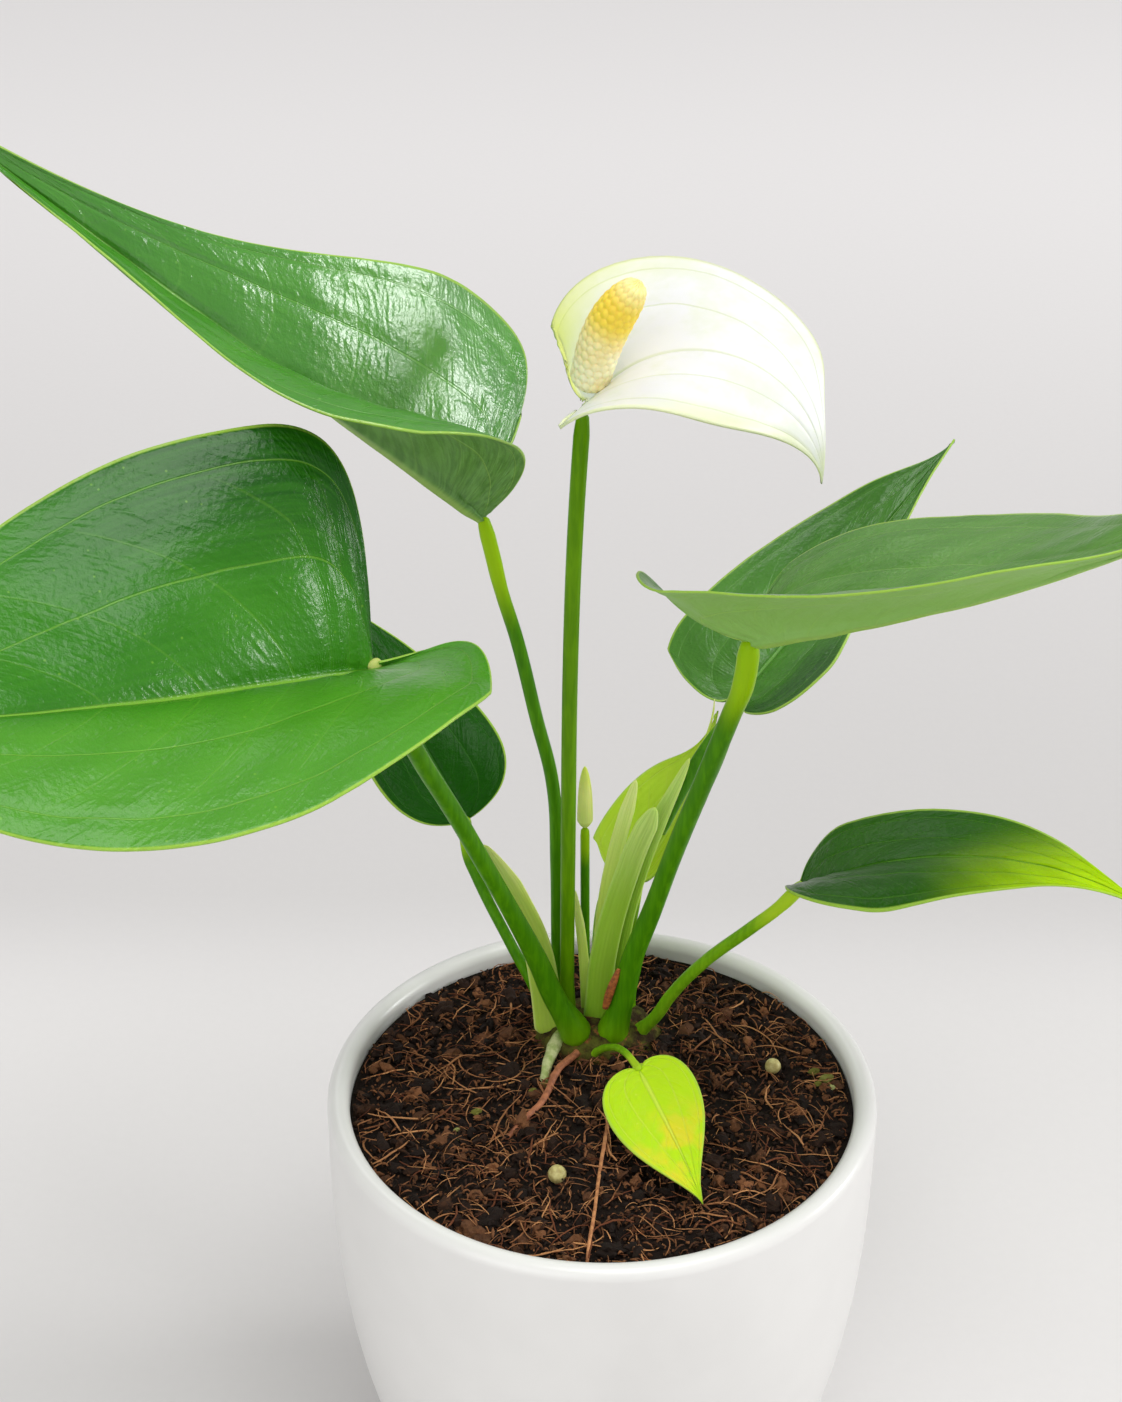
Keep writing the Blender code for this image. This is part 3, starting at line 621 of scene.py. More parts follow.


# %% [markdown]
# ### Leaf finish
#
# A blade's upper face is waxy: saturated green, glossy, with a leathery grain that scatters the highlight.
# The veins are a little lighter, the underside is paler and duller, and light leaks through the thin edge,
# so the margin looks yellow-green. Two leaves get painted shade, a darker right half beside the stalk, and
# one of them painted light, a lighter left half. The finish reads u and v from the UV map, and side, the
# mark left while thickening.

# %% Leaf colours
# lobe, where a leaf has one here, is painted shade: a darker green for the right half of the blade beside the
# stalk.
LEAF_LOOKS = {
    "upper_left": dict(
        deep=srgb(34, 112, 8), light=srgb(84, 158, 38), vein=srgb(132, 190, 80), under=srgb(64, 122, 0),
        wax=1.0, crumple=0.8,
    ),
    # front_left's near is painted light: a lighter green for the left half of the blade.
    "front_left": dict(
        deep=srgb(30, 104, 4), light=srgb(64, 138, 22), vein=srgb(140, 194, 64), under=srgb(96, 150, 50),
        lobe=srgb(8, 74, 0), near=srgb(84, 156, 38), wax=0.36, crumple=0.3,
    ),
    "back_left": dict(
        deep=srgb(8, 62, 0), light=srgb(26, 88, 2), vein=srgb(60, 120, 36), under=srgb(56, 106, 28),
        wax=0.12,
    ),
    "back_right": dict(
        deep=srgb(20, 78, 0), light=srgb(84, 144, 46), vein=srgb(116, 172, 80), under=srgb(84, 136, 48),
        lobe=srgb(14, 68, 0), wax=0.42,
    ),
    "right": dict(
        deep=srgb(40, 98, 18), light=srgb(110, 160, 72), vein=srgb(146, 190, 106), under=srgb(136, 182, 88)
    ),
    "lower_right": dict(
        deep=srgb(24, 78, 0), light=srgb(52, 108, 10), vein=srgb(90, 148, 34), under=srgb(100, 150, 40),
        tip=srgb(184, 226, 2), wax=0.14,
    ),
    "front_small": dict(
        deep=srgb(180, 232, 4), light=srgb(208, 244, 30), vein=srgb(226, 246, 96), under=srgb(190, 228, 50),
        blotch=srgb(248, 222, 54),
    ),
    "young": dict(
        deep=srgb(156, 198, 14), light=srgb(200, 230, 60), vein=srgb(206, 232, 100), under=srgb(176, 212, 60)
    ),
}
EDGE = srgb(178, 216, 82)


# %% Leaf finish
def leaf_material(name, leaf, deep, light, vein, under, tip=None, blotch=None,
                  lobe=None, near=None, wax=0.28, gloss=0.2, crumple=0.0):
    """Waxy blade: line widths are in millimetres, so that large and small leaves have the same veins."""
    material, shader = new_material(name + "_leaf")
    uv = add(material, "SeparateXYZ", {0: add(material, "UVMap", {}, uv_map="UVMap").outputs[0]})
    u = uv.outputs["X"]
    across = calc(material, "MULTIPLY_ADD", uv.outputs["Y"], 2.0, -1.0)
    reach = calc(material, "ABSOLUTE", across)
    half, length = leaf["width"] / 2 / MM, leaf["length"] / MM
    place = object_coordinates(material)
    side = add(material, "Attribute", {}, attribute_name="side").outputs["Fac"]
    below = fade(material, side, 0.4, 0.9)

    wobble = calc(material, "MULTIPLY_ADD", speckle(material, place, 60, detail=1.0), 0.03, -0.015)
    bent = calc(material, "ADD", reach, wobble)
    lean = calc(material, "MULTIPLY", calc(material, "POWER", reach, 1.4), VEIN_LEAN)
    back = calc(material, "SUBTRACT", u, lean)

    def line(middle, width):
        away = calc(material, "ABSOLUTE", calc(material, "SUBTRACT", bent, middle))
        return fade(material, away, width / half, width * 0.3 / half)

    def stretched(along, sideways, detail, ridged=False):
        """Noise in millimetres of the blade, stretched along the side veins or along the blade."""
        inputs = {0: calc(material, "MULTIPLY", back, length * along)}
        inputs[1] = calc(material, "MULTIPLY", across, half * sideways)
        kind = {"noise_type": "RIDGED_MULTIFRACTAL"} if ridged else {}
        spot = add(material, "CombineXYZ", inputs).outputs[0]
        return add(material, "TexNoise", {"Vector": spot, "Scale": 1.0, "Detail": detail}, **kind).outputs[0]

    rib = fade(material, reach, 0.75 / half, 0.2 / half)
    mains = calc(material, "MAXIMUM", line(INNER_VEIN, 0.32), line(MARGIN_VEIN, 0.25))
    phase = calc(material, "FRACT", calc(material, "MULTIPLY", back, float(SIDE_VEINS)))
    gap = calc(material, "ABSOLUTE", calc(material, "SUBTRACT", phase, 0.5))
    laterals = fade(material, gap, 0.022, 0.006)
    laterals = calc(material, "MULTIPLY", laterals, fade(material, reach, 0.88, 0.7))
    lines = calc(material, "MULTIPLY", laterals, 0.16)
    lines = calc(material, "MAXIMUM", calc(material, "MULTIPLY", mains, 0.45), lines)
    veins = calc(material, "MAXIMUM", rib, lines)

    patches = fade(material, speckle(material, place, 22, detail=1.0), 0.3, 0.7, 0.3, 0.7)
    colour = blend(material, patches, deep, light)
    # Painted light: the left half of the blade is pulled towards near, a lighter green, for the light that
    # falls on that half.
    if near:
        colour = blend(material, fade(material, across, -0.05, 0.3, 0.0, 0.8), colour, near)
    # Painted shade: the right half near the stalk is darkened towards lobe, for the shade that falls there.
    if lobe:
        dark = calc(material, "MULTIPLY", fade(material, across, -0.25, -0.8), fade(material, u, 0.62, 0.36))
        colour = blend(material, calc(material, "MULTIPLY", dark, 0.9), colour, lobe)
    streaks = fade(material, stretched(0.05, 0.9, 3.0), 0.35, 0.7)
    colour = blend(material, calc(material, "MULTIPLY", streaks, 0.30), colour, light)
    if tip:
        colour = blend(material, fade(material, u, 0.50, 0.96), colour, tip)
    if blotch:
        spot = fade(material, speckle(material, place, 110, detail=2.0), 0.42, 0.62)
        spot = calc(material, "MULTIPLY", spot, fade(material, u, 0.42, 0.62))
        spot = calc(material, "MULTIPLY", spot, fade(material, u, 0.95, 0.75))
        colour = blend(material, calc(material, "MULTIPLY", spot, 0.7), colour, blotch)
    quilt = calc(material, "MULTIPLY", fade(material, gap, 0.06, 0.5), 0.14)
    colour = blend(material, quilt, colour, deep)
    base = fade(material, u, 0.05, 0.0, 0.0, 0.7)
    colour = blend(material, calc(material, "MULTIPLY", base, fade(material, reach, 0.5, 0.1)), colour, EDGE)
    cells = add(material, "TexVoronoi", {"Vector": place, "Scale": 260.0}).outputs["Distance"]
    specks = calc(material, "MULTIPLY", fade(material, cells, 0.10, 0.03), 0.35)
    colour = blend(material, specks, colour, vein)
    colour = blend(material, calc(material, "MULTIPLY", veins, 0.62), colour, vein)
    dull = blend(material, fade(material, stretched(0.5, 0.2, 3.0), 0.35, 0.65, 0.0, 0.3), under, vein)
    dull = blend(material, calc(material, "MULTIPLY", veins, 0.5), dull, EDGE)
    colour = blend(material, below, colour, dull)
    margin = fade(material, reach, 1 - 0.75 / half, 1 - 0.3 / half, 0.0, 0.7)
    colour = blend(material, margin, colour, EDGE)

    wrinkles = stretched(0.75, 0.22, 3.0, ridged=True)
    leather = speckle(material, place, 620, detail=3.0, rough=0.55)
    height = calc(material, "MULTIPLY_ADD", wrinkles, 0.6, calc(material, "MULTIPLY", leather, 0.85))
    height = calc(material, "MULTIPLY_ADD", veins, -0.8, height)
    if crumple:
        folds = {"noise_type": "RIDGED_MULTIFRACTAL"}
        creases = add(material, "TexNoise", {"Vector": place, "Scale": 120.0, "Detail": 3.0}, **folds)
        height = calc(material, "MULTIPLY_ADD", creases.outputs[0], crumple, height)
    shine = fade(material, wrinkles, 0.2, 0.9, gloss + 0.08, gloss)
    shine = calc(material, "MULTIPLY_ADD", below, 0.25, shine)
    connect(material, shader, colour=colour, roughness=shine, height=height, bump=0.9, distance=0.0003)
    shader.inputs["Specular IOR Level"].default_value = wax
    shader.inputs["Subsurface Weight"].default_value = 0.12
    shader.inputs["Subsurface Radius"].default_value = (0.35, 1.0, 0.15)
    shader.inputs["Subsurface Scale"].default_value = 0.0012
    return material


# %% Leaves
SMALL_LEAVES = ("back_left", "front_small", "young", "lower_right")

for name, leaf in LEAVES.items():
    rows, columns = (64, 56) if name in SMALL_LEAVES else (104, 88)
    blade = make_blade(f"blade_{name}", leaf, rows, columns)
    slot_name = "young_leaf" if name in ("front_small", "young") else "leaf"
    keep(blade, leaf_material(name, leaf, **LEAF_LOOKS[name]), slot_name, f"leaf_{name}")

# %% [markdown]
# ## Stalks
#
# A leaf stalk is a tapering rod that springs out of the crown with a broad, flattened foot. Just below the
# blade it has a short swollen joint, lighter than the rest, which lets the leaf turn to the light. The rod
# follows a Bezier curve through the same points as the solid. The curve is made a mesh to read its path,
# and the grid tool wraps a skin round that path, so the joint's swelling and colour can follow u.


# %% Paths and tubes
def path_through(route, steps=12):
    """Points along a smooth curve through a route given in millimetres."""
    clear_selection()
    bpy.ops.curve.primitive_bezier_curve_add()
    curve = bpy.context.object
    curve.data.resolution_u = steps
    knots = curve.data.splines[0].bezier_points
    knots.add(len(route) - len(knots))
    for knot, place in zip(knots, route):
        knot.co = Vector(place) * MM
        knot.handle_left_type = "AUTO"
        knot.handle_right_type = "AUTO"
    bpy.ops.object.convert(target="MESH")
    path = bpy.context.object
    points = [vertex.co.copy() for vertex in path.data.vertices]
    bpy.data.objects.remove(path)
    return points


def tube(name, route, radius, rows=60, columns=20, front=(0, -1, 0), squash=None, bumps=0.0, reach=1.0):
    """A closed rod along a route; radius(u) is in millimetres and squash(u) flattens it towards front."""
    points = path_through(route)
    lengths = [0.0]
    for a, b in zip(points, points[1:]):
        lengths.append(lengths[-1] + (b - a).length)

    def along(share):
        target = min(max(share, 0.0), 1.0) * lengths[-1]
        i = next((i for i in range(1, len(lengths)) if lengths[i] >= target), len(lengths) - 1)
        part = (target - lengths[i - 1]) / max(lengths[i] - lengths[i - 1], 1e-9)
        return points[i - 1].lerp(points[i], min(part, 1.0))

    def place(u, v):
        turn = tau * (0.0 if v > 0.9999 else v)
        end = min(u, 1 - u) * lengths[-1]
        round_end = 1.0 if end > radius(u) * MM * 0.6 else (end / (radius(u) * MM * 0.6)) ** 0.5
        centre = along(u)
        forward = (along(u + 0.01) - along(u - 0.01)).normalized()
        wide = forward.cross(Vector(front)).normalized()
        deep = wide.cross(forward)
        flat = squash(u) if squash else 1.0
        size = radius(u) * MM * round_end
        rough = 1 + bumps * noise.noise(centre * 400 + Vector((cos(turn), sin(turn), 0)))
        return centre + (wide * cos(turn) + deep * sin(turn) * flat) * size * rough

    return moved_grid(name, rows, columns, place)


# %% Stalk routes
# Radius at the bottom and at the top, and the route from the crown up, in millimetres
LEAF_STALKS = {
    "upper_left": (2.1, 1.6, [
        (-9.5, 32.5, 121), (-10.4, 31, 140), (-11, 28, 171), (-12, 26, 195), (-16, 23, 216),
        (-20, 20, 237), (-23.8, 17, 253), (-25.3, 16, 261),
    ]),
    "front_left": (3.0, 2.1, [
        (-5.2, 19.8, 122.5), (-7.2, 19, 128), (-11.3, 17.5, 137), (-15.9, 14, 152), (-21.8, 8, 170),
        (-28.2, 1, 189), (-34.3, -6, 207), (-41.2, -15, 227), (-45.7, -24, 245),
    ]),
    "back_left": (1.6, 1.4, [
        (-13.5, 27.5, 121.5), (-15.6, 29.5, 129), (-22.5, 35, 141), (-31.8, 44, 157), (-34.1, 47, 162),
    ]),
    "back_right": (1.7, 1.6, [
        (6.5, 30.8, 121), (8.0, 33, 130), (11.6, 37, 145), (17.6, 42, 160), (24.0, 47, 175),
        (30.3, 52, 189),
    ]),
    "right": (3.0, 2.3, [
        (2.2, 20.5, 122), (4.9, 19.5, 133), (7.2, 18.5, 147), (12.2, 15, 166), (17.5, 10, 188),
        (23.4, 5, 210), (28.2, 0, 229), (30.3, -3, 238),
    ]),
    "lower_right": (1.6, 1.5, [
        (8.5, 24, 121), (13.8, 20, 130), (17.5, 17, 139), (24.7, 11, 153), (35.3, 3, 169),
        (41.3, -2, 178.5),
    ]),
    "front_small": (1.0, 0.9, [(-1.8, 15.5, 122), (1.5, 10, 128), (5.1, 3, 132.5)]),
    "young": (1.2, 1.1, [(3.8, 34.5, 119.5), (5.2, 37, 126), (7.8, 41, 140), (9.8, 44, 152)]),
}
PEDUNCLE = (1.8, 1.8, [
    (-8.5, 24.3, 123), (-8.5, 23.5, 136), (-8.3, 20, 176), (-7.7, 16, 240), (-6.7, 13.5, 271),
    (-5.2, 11.5, 298.2),
])
BUD_STALK = (1.15, 1.15, [(-3.6, 31, 122.5), (-3.9, 31, 150), (-4.1, 31, 180.2)])


def stalk_radius(low, high, swell):
    """Radius in millimetres: thick at the foot, even above, and a little swollen below the blade."""

    def radius(u):
        plain = low + (high - low) * smooth_step(u * 2.2) + 0.45 * low * (1 - smooth_step(u / 0.10))
        swollen = 1 + swell * smooth_step((u - 0.86) / 0.05)
        return plain * swollen * (1 - 0.3 * smooth_step((u - 0.96) / 0.04))

    return radius


# %% Stalk finish
def stalk_material(name, green, dark, joint, joint_start=0.86):
    material, shader = new_material(name, roughness=0.38)
    uv = add(material, "SeparateXYZ", {0: add(material, "UVMap", {}, uv_map="UVMap").outputs[0]})
    place = object_coordinates(material)
    stretched = add(material, "Mapping", {0: place, "Scale": (1.0, 1.0, 0.08)}).outputs[0]
    streaks = fade(material, speckle(material, stretched, 900, detail=2.0), 0.35, 0.65)
    colour = blend(material, calc(material, "MULTIPLY", streaks, 0.55), green, dark)
    cloud = fade(material, speckle(material, place, 70, detail=2.0), 0.35, 0.7)
    colour = blend(material, calc(material, "MULTIPLY", cloud, 0.35), colour, dark)
    colour = blend(material, fade(material, uv.outputs["X"], 0.10, 0.0, 0.0, 0.35), colour, joint)
    top = fade(material, uv.outputs["X"], joint_start - 0.08, joint_start + 0.05)
    colour = blend(material, top, colour, joint)
    fine = speckle(material, place, 2200, detail=2.0)
    height = calc(material, "ADD", streaks, fine)
    connect(material, shader, colour=colour, height=height, bump=0.12, distance=0.0002)
    shader.inputs["Specular IOR Level"].default_value = 0.1
    shader.inputs["Subsurface Weight"].default_value = 0.15
    shader.inputs["Subsurface Radius"].default_value = (0.4, 1.0, 0.1)
    shader.inputs["Subsurface Scale"].default_value = 0.0015
    return material


green_stalk = stalk_material("green_stalk", srgb(84, 146, 8), srgb(52, 112, 4), srgb(150, 192, 10))
pale_stalk = stalk_material("pale_stalk", srgb(128, 180, 24), srgb(92, 146, 12), srgb(170, 206, 40), 0.8)
flower_green = stalk_material("flower_green", srgb(104, 154, 6), srgb(76, 126, 2), srgb(140, 184, 30), 1.2)

# %% Stalks
STALK_FINISH = {"lower_right": pale_stalk, "young": pale_stalk, "front_small": pale_stalk}

for name, (low, high, route) in LEAF_STALKS.items():
    top = Vector(LEAVES[name]["attach"]) * 1.0
    seat = top + (top - Vector(route[-1])).normalized() * 1.2
    rod = tube(f"rod_{name}", route + [tuple(seat)], stalk_radius(low, high, 0.10), rows=80)
    keep(rod, STALK_FINISH.get(name, green_stalk), "stalk", f"stalk_{name}")

low, high, route = PEDUNCLE
keep(tube("flower_rod", route, stalk_radius(low, high, 0.0), rows=80), flower_green, "stalk", "flower_stalk")
low, high, route = BUD_STALK
keep(tube("bud_rod", route, stalk_radius(low, high, 0.0), rows=40), green_stalk, "stalk", "bud_stalk")

# %% [markdown]
# ## Flower
#
# What looks like one petal is the spathe, a white leaf that has opened round the spadix. It is the same
# blade with other numbers: it bends over strongly and its margins curl back. The spadix is a finger packed
# with tiny florets in spirals, each a low dome, so its skin is the tube pushed out by a pattern of domes.

# %% Spathe
SPATHE = dict(
    attach=(-4.2, 11.4, 299.4), heading=-10.6, sweep=-25, pitch=54, bend=146.5, bend_power=1.15, roll=20,
    twist=25, length=0.072, width=0.062, lobe=0.06, widest=0.16, full=0.88, point=0.20, notch=0.20,
    fold_base=24, fold_tip=-22, curl=20, lobe_curl=60, wave=0.0,
    right=dict(
        width=0.056, widest=0.25, full=0.58, point=0.08, notch=0.02,
        fold_base=31, fold_tip=19, curl=3,
    ),
)
SPATHE_THICKNESS = 0.0006


def spathe_relief(u, reach, size):
    body = smooth_step(u / 0.15) * smooth_step((1 - u) / 0.2)
    grooves = 0.35 * bell(reach, 0, 0.04) + 0.22 * bell(reach, INNER_VEIN, 0.04)
    grooves += 0.15 * bell(reach, MARGIN_VEIN, 0.04)
    return -grooves * body * MM * 0.6


spathe = make_blade(
    "open_spathe", SPATHE, 96, 72, SPATHE_THICKNESS, SPATHE_THICKNESS * 1.5, ripple=0.3, relief=spathe_relief
)
petal, petal_shader = new_material("white_spathe")
uv = add(petal, "SeparateXYZ", {0: add(petal, "UVMap", {}, uv_map="UVMap").outputs[0]})
across = calc(petal, "MULTIPLY_ADD", uv.outputs["Y"], 2.0, -1.0)
reach = calc(petal, "ABSOLUTE", across)
place = object_coordinates(petal)
wobble = calc(petal, "MULTIPLY_ADD", speckle(petal, place, 90, detail=1.0), 0.04, -0.02)
bent = calc(petal, "ADD", reach, wobble)
veins = fade(petal, reach, 0.03, 0.006)
for middle in (INNER_VEIN, MARGIN_VEIN):
    away = calc(petal, "ABSOLUTE", calc(petal, "SUBTRACT", bent, middle))
    veins = calc(petal, "MAXIMUM", veins, fade(petal, away, 0.012, 0.003))
patches = fade(petal, speckle(petal, place, 75, detail=4.0), 0.4, 0.65)
colour = blend(petal, patches, srgb(236, 237, 235), srgb(228, 232, 217))
colour = blend(petal, calc(petal, "MULTIPLY", veins, 0.6), colour, srgb(204, 213, 172))
colour = blend(petal, fade(petal, reach, 0.95, 1.0, 0.0, 0.6), colour, srgb(222, 236, 150))
lip = calc(petal, "MULTIPLY", fade(petal, across, -0.72, -0.95), fade(petal, uv.outputs["X"], 0.3, 0.5))
colour = blend(petal, calc(petal, "MULTIPLY", lip, 0.7), colour, srgb(226, 234, 184))
lobe_green = calc(petal, "MULTIPLY", fade(petal, across, 0.2, 0.9), fade(petal, uv.outputs["X"], 0.45, 0.2))
colour = blend(petal, calc(petal, "MULTIPLY", lobe_green, 0.9), colour, srgb(240, 252, 112))
colour = blend(petal, fade(petal, uv.outputs["X"], 0.88, 1.0, 0.0, 0.6), colour, srgb(222, 234, 160))
colour = blend(petal, fade(petal, uv.outputs["X"], 0.10, 0.0, 0.0, 0.5), colour, srgb(228, 240, 150))
height = calc(petal, "MULTIPLY_ADD", veins, -0.6, calc(petal, "MULTIPLY", speckle(petal, place, 500), 0.4))
shine = fade(petal, patches, 0, 1, 0.36, 0.46)
connect(petal, petal_shader, colour=colour, roughness=shine, height=height, bump=0.3, distance=0.0003)
petal_shader.inputs["Subsurface Weight"].default_value = 0.5
petal_shader.inputs["Subsurface Radius"].default_value = (1.0, 1.0, 0.7)
petal_shader.inputs["Subsurface Scale"].default_value = 0.002
keep(spathe, petal, "spathe", "spathe")

# %% Spadix
SPADIX_RADIUS = 4.7
SPADIX_ROUTE = [(-4.7, 5.6, 304.4), (-0.5, 2.0, 319.7), (6.0, -1.8, 331.1)]
FLORETS_ROUND = 14
FLORET_ROWS = 17
FLORET_HEIGHT = 0.34


def spadix_radius(u):
    body = 0.55 + 0.45 * smooth_step((u - 0.01) / 0.10)
    return SPADIX_RADIUS * body * (0.86 + 0.14 * sin(pi * u)) * (1 - min(u, 0.999) ** 8) ** 0.5


def floret_dome(u, v):
    """Height under a point of the skin, from 0 between the florets to 1 on top of one."""
    row, nearest = u * FLORET_ROWS, 1.0
    for middle in (int(row), int(row) + 1):
        column = v * FLORETS_ROUND + 0.5 * (middle % 2)
        aside = column - round(column)
        nearest = min(nearest, aside**2 + (0.87 * (row - middle)) ** 2)
    return max(0.0, 1 - nearest / 0.34)


spadix = tube("spadix_skin", SPADIX_ROUTE, spadix_radius, rows=300, columns=180)
print("spadix faces:", len(spadix.data.polygons))
layer = spadix.data.uv_layers[0].data
domes = {}
for loop in spadix.data.loops:
    domes[loop.vertex_index] = floret_dome(*layer[loop.index].uv)
push_out(spadix, lambda vertex: FLORET_HEIGHT * MM * (domes.get(vertex.index, 0.0) - 0.7))
shade = spadix.data.attributes.new("dome", "FLOAT", "POINT")
for i, item in enumerate(shade.data):
    item.value = domes.get(i, 0.0)

gold, gold_shader = new_material("golden_florets", roughness=0.55)
uv = add(gold, "SeparateXYZ", {0: add(gold, "UVMap", {}, uv_map="UVMap").outputs[0]})
place = object_coordinates(gold)
dome = add(gold, "Attribute", {}, attribute_name="dome").outputs["Fac"]
colour = blend(gold, fade(gold, uv.outputs["X"], 0.35, 0.68), srgb(255, 250, 212), srgb(255, 222, 72))
colour = blend(gold, fade(gold, uv.outputs["X"], 0.78, 0.97), colour, srgb(255, 242, 170))
colour = blend(gold, fade(gold, speckle(gold, place, 160), 0.35, 0.7, 0.0, 0.35), colour, srgb(255, 208, 60))
# Painted shade: the grooves between the florets, where dome is low, are painted a deeper, darker gold.
colour = blend(gold, fade(gold, dome, 0.5, 0.0, 0.0, 0.3), colour, srgb(250, 206, 96))
colour = blend(gold, fade(gold, uv.outputs["X"], 0.06, 0.0), colour, srgb(176, 186, 90))
connect(gold, gold_shader, colour=colour, height=speckle(gold, place, 2500), bump=0.15, distance=0.0002)
gold_shader.inputs["Subsurface Weight"].default_value = 0.35
gold_shader.inputs["Subsurface Radius"].default_value = (1.0, 0.6, 0.25)
gold_shader.inputs["Subsurface Scale"].default_value = 0.0015
keep(spadix, gold, "spadix", "spadix")

# %% [markdown]
# ## Bracts and bud
#
# New leaves and flowers push up inside pale, pointed sheaths. They are slim closed forms, a little ribbed
# along their length, and thin enough to glow. The closed flower beside the open one is the same form,
# shorter.

# %% Bract dimensions
# Half width, half thickness, how blunt the tip is, and the route from the crown up, in millimetres
BRACTS = {
    "front": (3.5, 1.3, 12, [
        (-1.0, 24.2, 122.5), (-0.4, 23, 133), (0.5, 23, 146), (6.9, 23, 174), (12.7, 23, 190.5),
    ]),
    "tall": (2.3, 0.9, 8, [(-0.5, 28.8, 122.5), (0.6, 28.8, 151), (2.6, 28.8, 169), (8.2, 28.5, 195)]),
    "right": (2.8, 0.8, 4, [(2.8, 26.3, 122.5), (3.6, 26, 142), (10, 28, 172), (21.3, 32, 199)]),
    "short": (1.4, 0.7, 5, [(-0.2, 32.5, 122), (-0.6, 32.8, 149), (1.5, 32.8, 164)]),
    "pale": (1.4, 0.6, 4, [(-3.2, 26.6, 123), (-4.5, 26.8, 146), (-6.5, 26.6, 164)]),
    "left": (3.8, 0.6, 4, [
        (-12.6, 22.5, 122), (-14.0, 23.5, 136), (-16, 22, 150), (-20.8, 15, 169), (-28, 4, 192),
    ]),
}
BUD = (1.95, [(-4.1, 31, 179.6), (-4.1, 31, 188), (-4.2, 31, 197.2)])


def bract_swell(u, blunt):
    """Broad at the foot, a little slimmer above, and rounded off to a blunt tip."""
    if u <= 0 or u >= 1:
        return 0.001
    return max(0.001, (1.05 - 0.28 * u) * min(1.0, (1 - u) * blunt) ** 0.5)


def bud_swell(u):
    """Blunt at the foot, widest low down, and pointed at the tip."""
    if u <= 0 or u >= 1:
        return 0.001
    return max(0.001, min(1.0, 0.4 + u * 5) * (1 - u**2.8) ** 0.62)


# %% Bract finish
def bract_material(name, foot, body, tip):
    """Three tones from foot to tip, fine ribs along the length and paler, thinner edges."""
    material, shader = new_material(name, roughness=0.45)
    uv = add(material, "SeparateXYZ", {0: add(material, "UVMap", {}, uv_map="UVMap").outputs[0]})
    along, turn = uv.outputs["X"], calc(material, "MULTIPLY", uv.outputs["Y"], tau)
    place = object_coordinates(material)
    ribs = calc(material, "SINE", calc(material, "MULTIPLY", turn, 22.0))
    inputs = {0: calc(material, "MULTIPLY", along, 3.0), 1: calc(material, "MULTIPLY", uv.outputs["Y"], 26.0)}
    streaks = speckle(material, add(material, "CombineXYZ", inputs).outputs[0], 1.0, detail=2.0)
    colour = blend(material, fade(material, along, 0.15, 0.55), foot, body)
    colour = blend(material, fade(material, along, 0.55, 0.97), colour, tip)
    colour = blend(material, fade(material, streaks, 0.35, 0.65, 0.0, 0.4), colour, foot)
    edge = calc(material, "ABSOLUTE", calc(material, "COSINE", turn))
    colour = blend(material, fade(material, edge, 0.8, 1.0, 0.0, 0.5), colour, tip)
    height = calc(material, "MULTIPLY_ADD", ribs, 0.4, streaks)
    connect(material, shader, colour=colour, height=height, bump=0.25, distance=0.0002)
    shader.inputs["Specular IOR Level"].default_value = 0.2
    shader.inputs["Subsurface Weight"].default_value = 0.4
    shader.inputs["Subsurface Radius"].default_value = (0.7, 1.0, 0.2)
    shader.inputs["Subsurface Scale"].default_value = 0.0015
    return material


green_bract = bract_material("green_bract", srgb(138, 180, 46), srgb(154, 195, 60), srgb(206, 230, 130))
pale_bract = bract_material("pale_bract", srgb(178, 208, 80), srgb(212, 232, 112), srgb(234, 246, 160))
bud_skin = bract_material("bud_skin", srgb(226, 238, 136), srgb(240, 246, 148), srgb(220, 234, 96))

# %% Bracts and bud
for name, (wide, deep, blunt, route) in BRACTS.items():
    sheath = tube(
        f"sheath_{name}", route, lambda u, size=wide, end=blunt: size * bract_swell(u, end),
        rows=72, columns=28, squash=lambda u, ratio=deep / wide: ratio,
    )
    keep(sheath, pale_bract if name in ("tall", "left", "pale") else green_bract, "bract", f"bract_{name}")

size, route = BUD
bud = tube("closed_flower", route, lambda u: size * bud_swell(u), rows=60, columns=28)
keep(bud, bud_skin, "bract", "flower_bud")

# %% [markdown]
# ### Small things between the stalks
#
# The next leaf is still rolled up in a dark green spear with a thread at its tip. An old sheath has dried
# to an orange-brown scale, and the front leaf shows the pale knob where its stalk joins the blade. They are
# rods too.

# %% Spear, thread, scale and knob
# Radius, flattening and route in millimetres
SMALL_RODS = {
    "rolled_spear": (1.8, 0.8, [
        (14.5, 33.0, 176), (18.3, 34.0, 185.7), (24.0, 36.0, 196.8), (29.4, 38.0, 206),
    ]),
    "spear_thread": (0.28, 1.0, [(24.6, 38.0, 198), (27.0, 39.5, 206.5), (27.4, 40.0, 211)]),
    "dry_scale": (1.1, 0.35, [(1.0, 17.6, 134), (2.2, 16.8, 140), (4.4, 17.2, 147)]),
    "leaf_knob": (1.5, 0.8, [(-49.6, -31.0, 256.6), (-48.4, -29.8, 257.9), (-47.2, -29.0, 258.2)]),
}
dry, dry_shader = new_material("dry_scale_skin", roughness=0.7)
dry_place = object_coordinates(dry)
rust = blend(dry, fade(dry, speckle(dry, dry_place, 900), 0.35, 0.65), srgb(184, 104, 44), srgb(120, 62, 26))
connect(dry, dry_shader, colour=rust, height=speckle(dry, dry_place, 1800), bump=0.4, distance=0.0003)
spear_green = stalk_material("spear_green", srgb(78, 138, 22), srgb(48, 108, 10), srgb(150, 190, 60), 0.95)
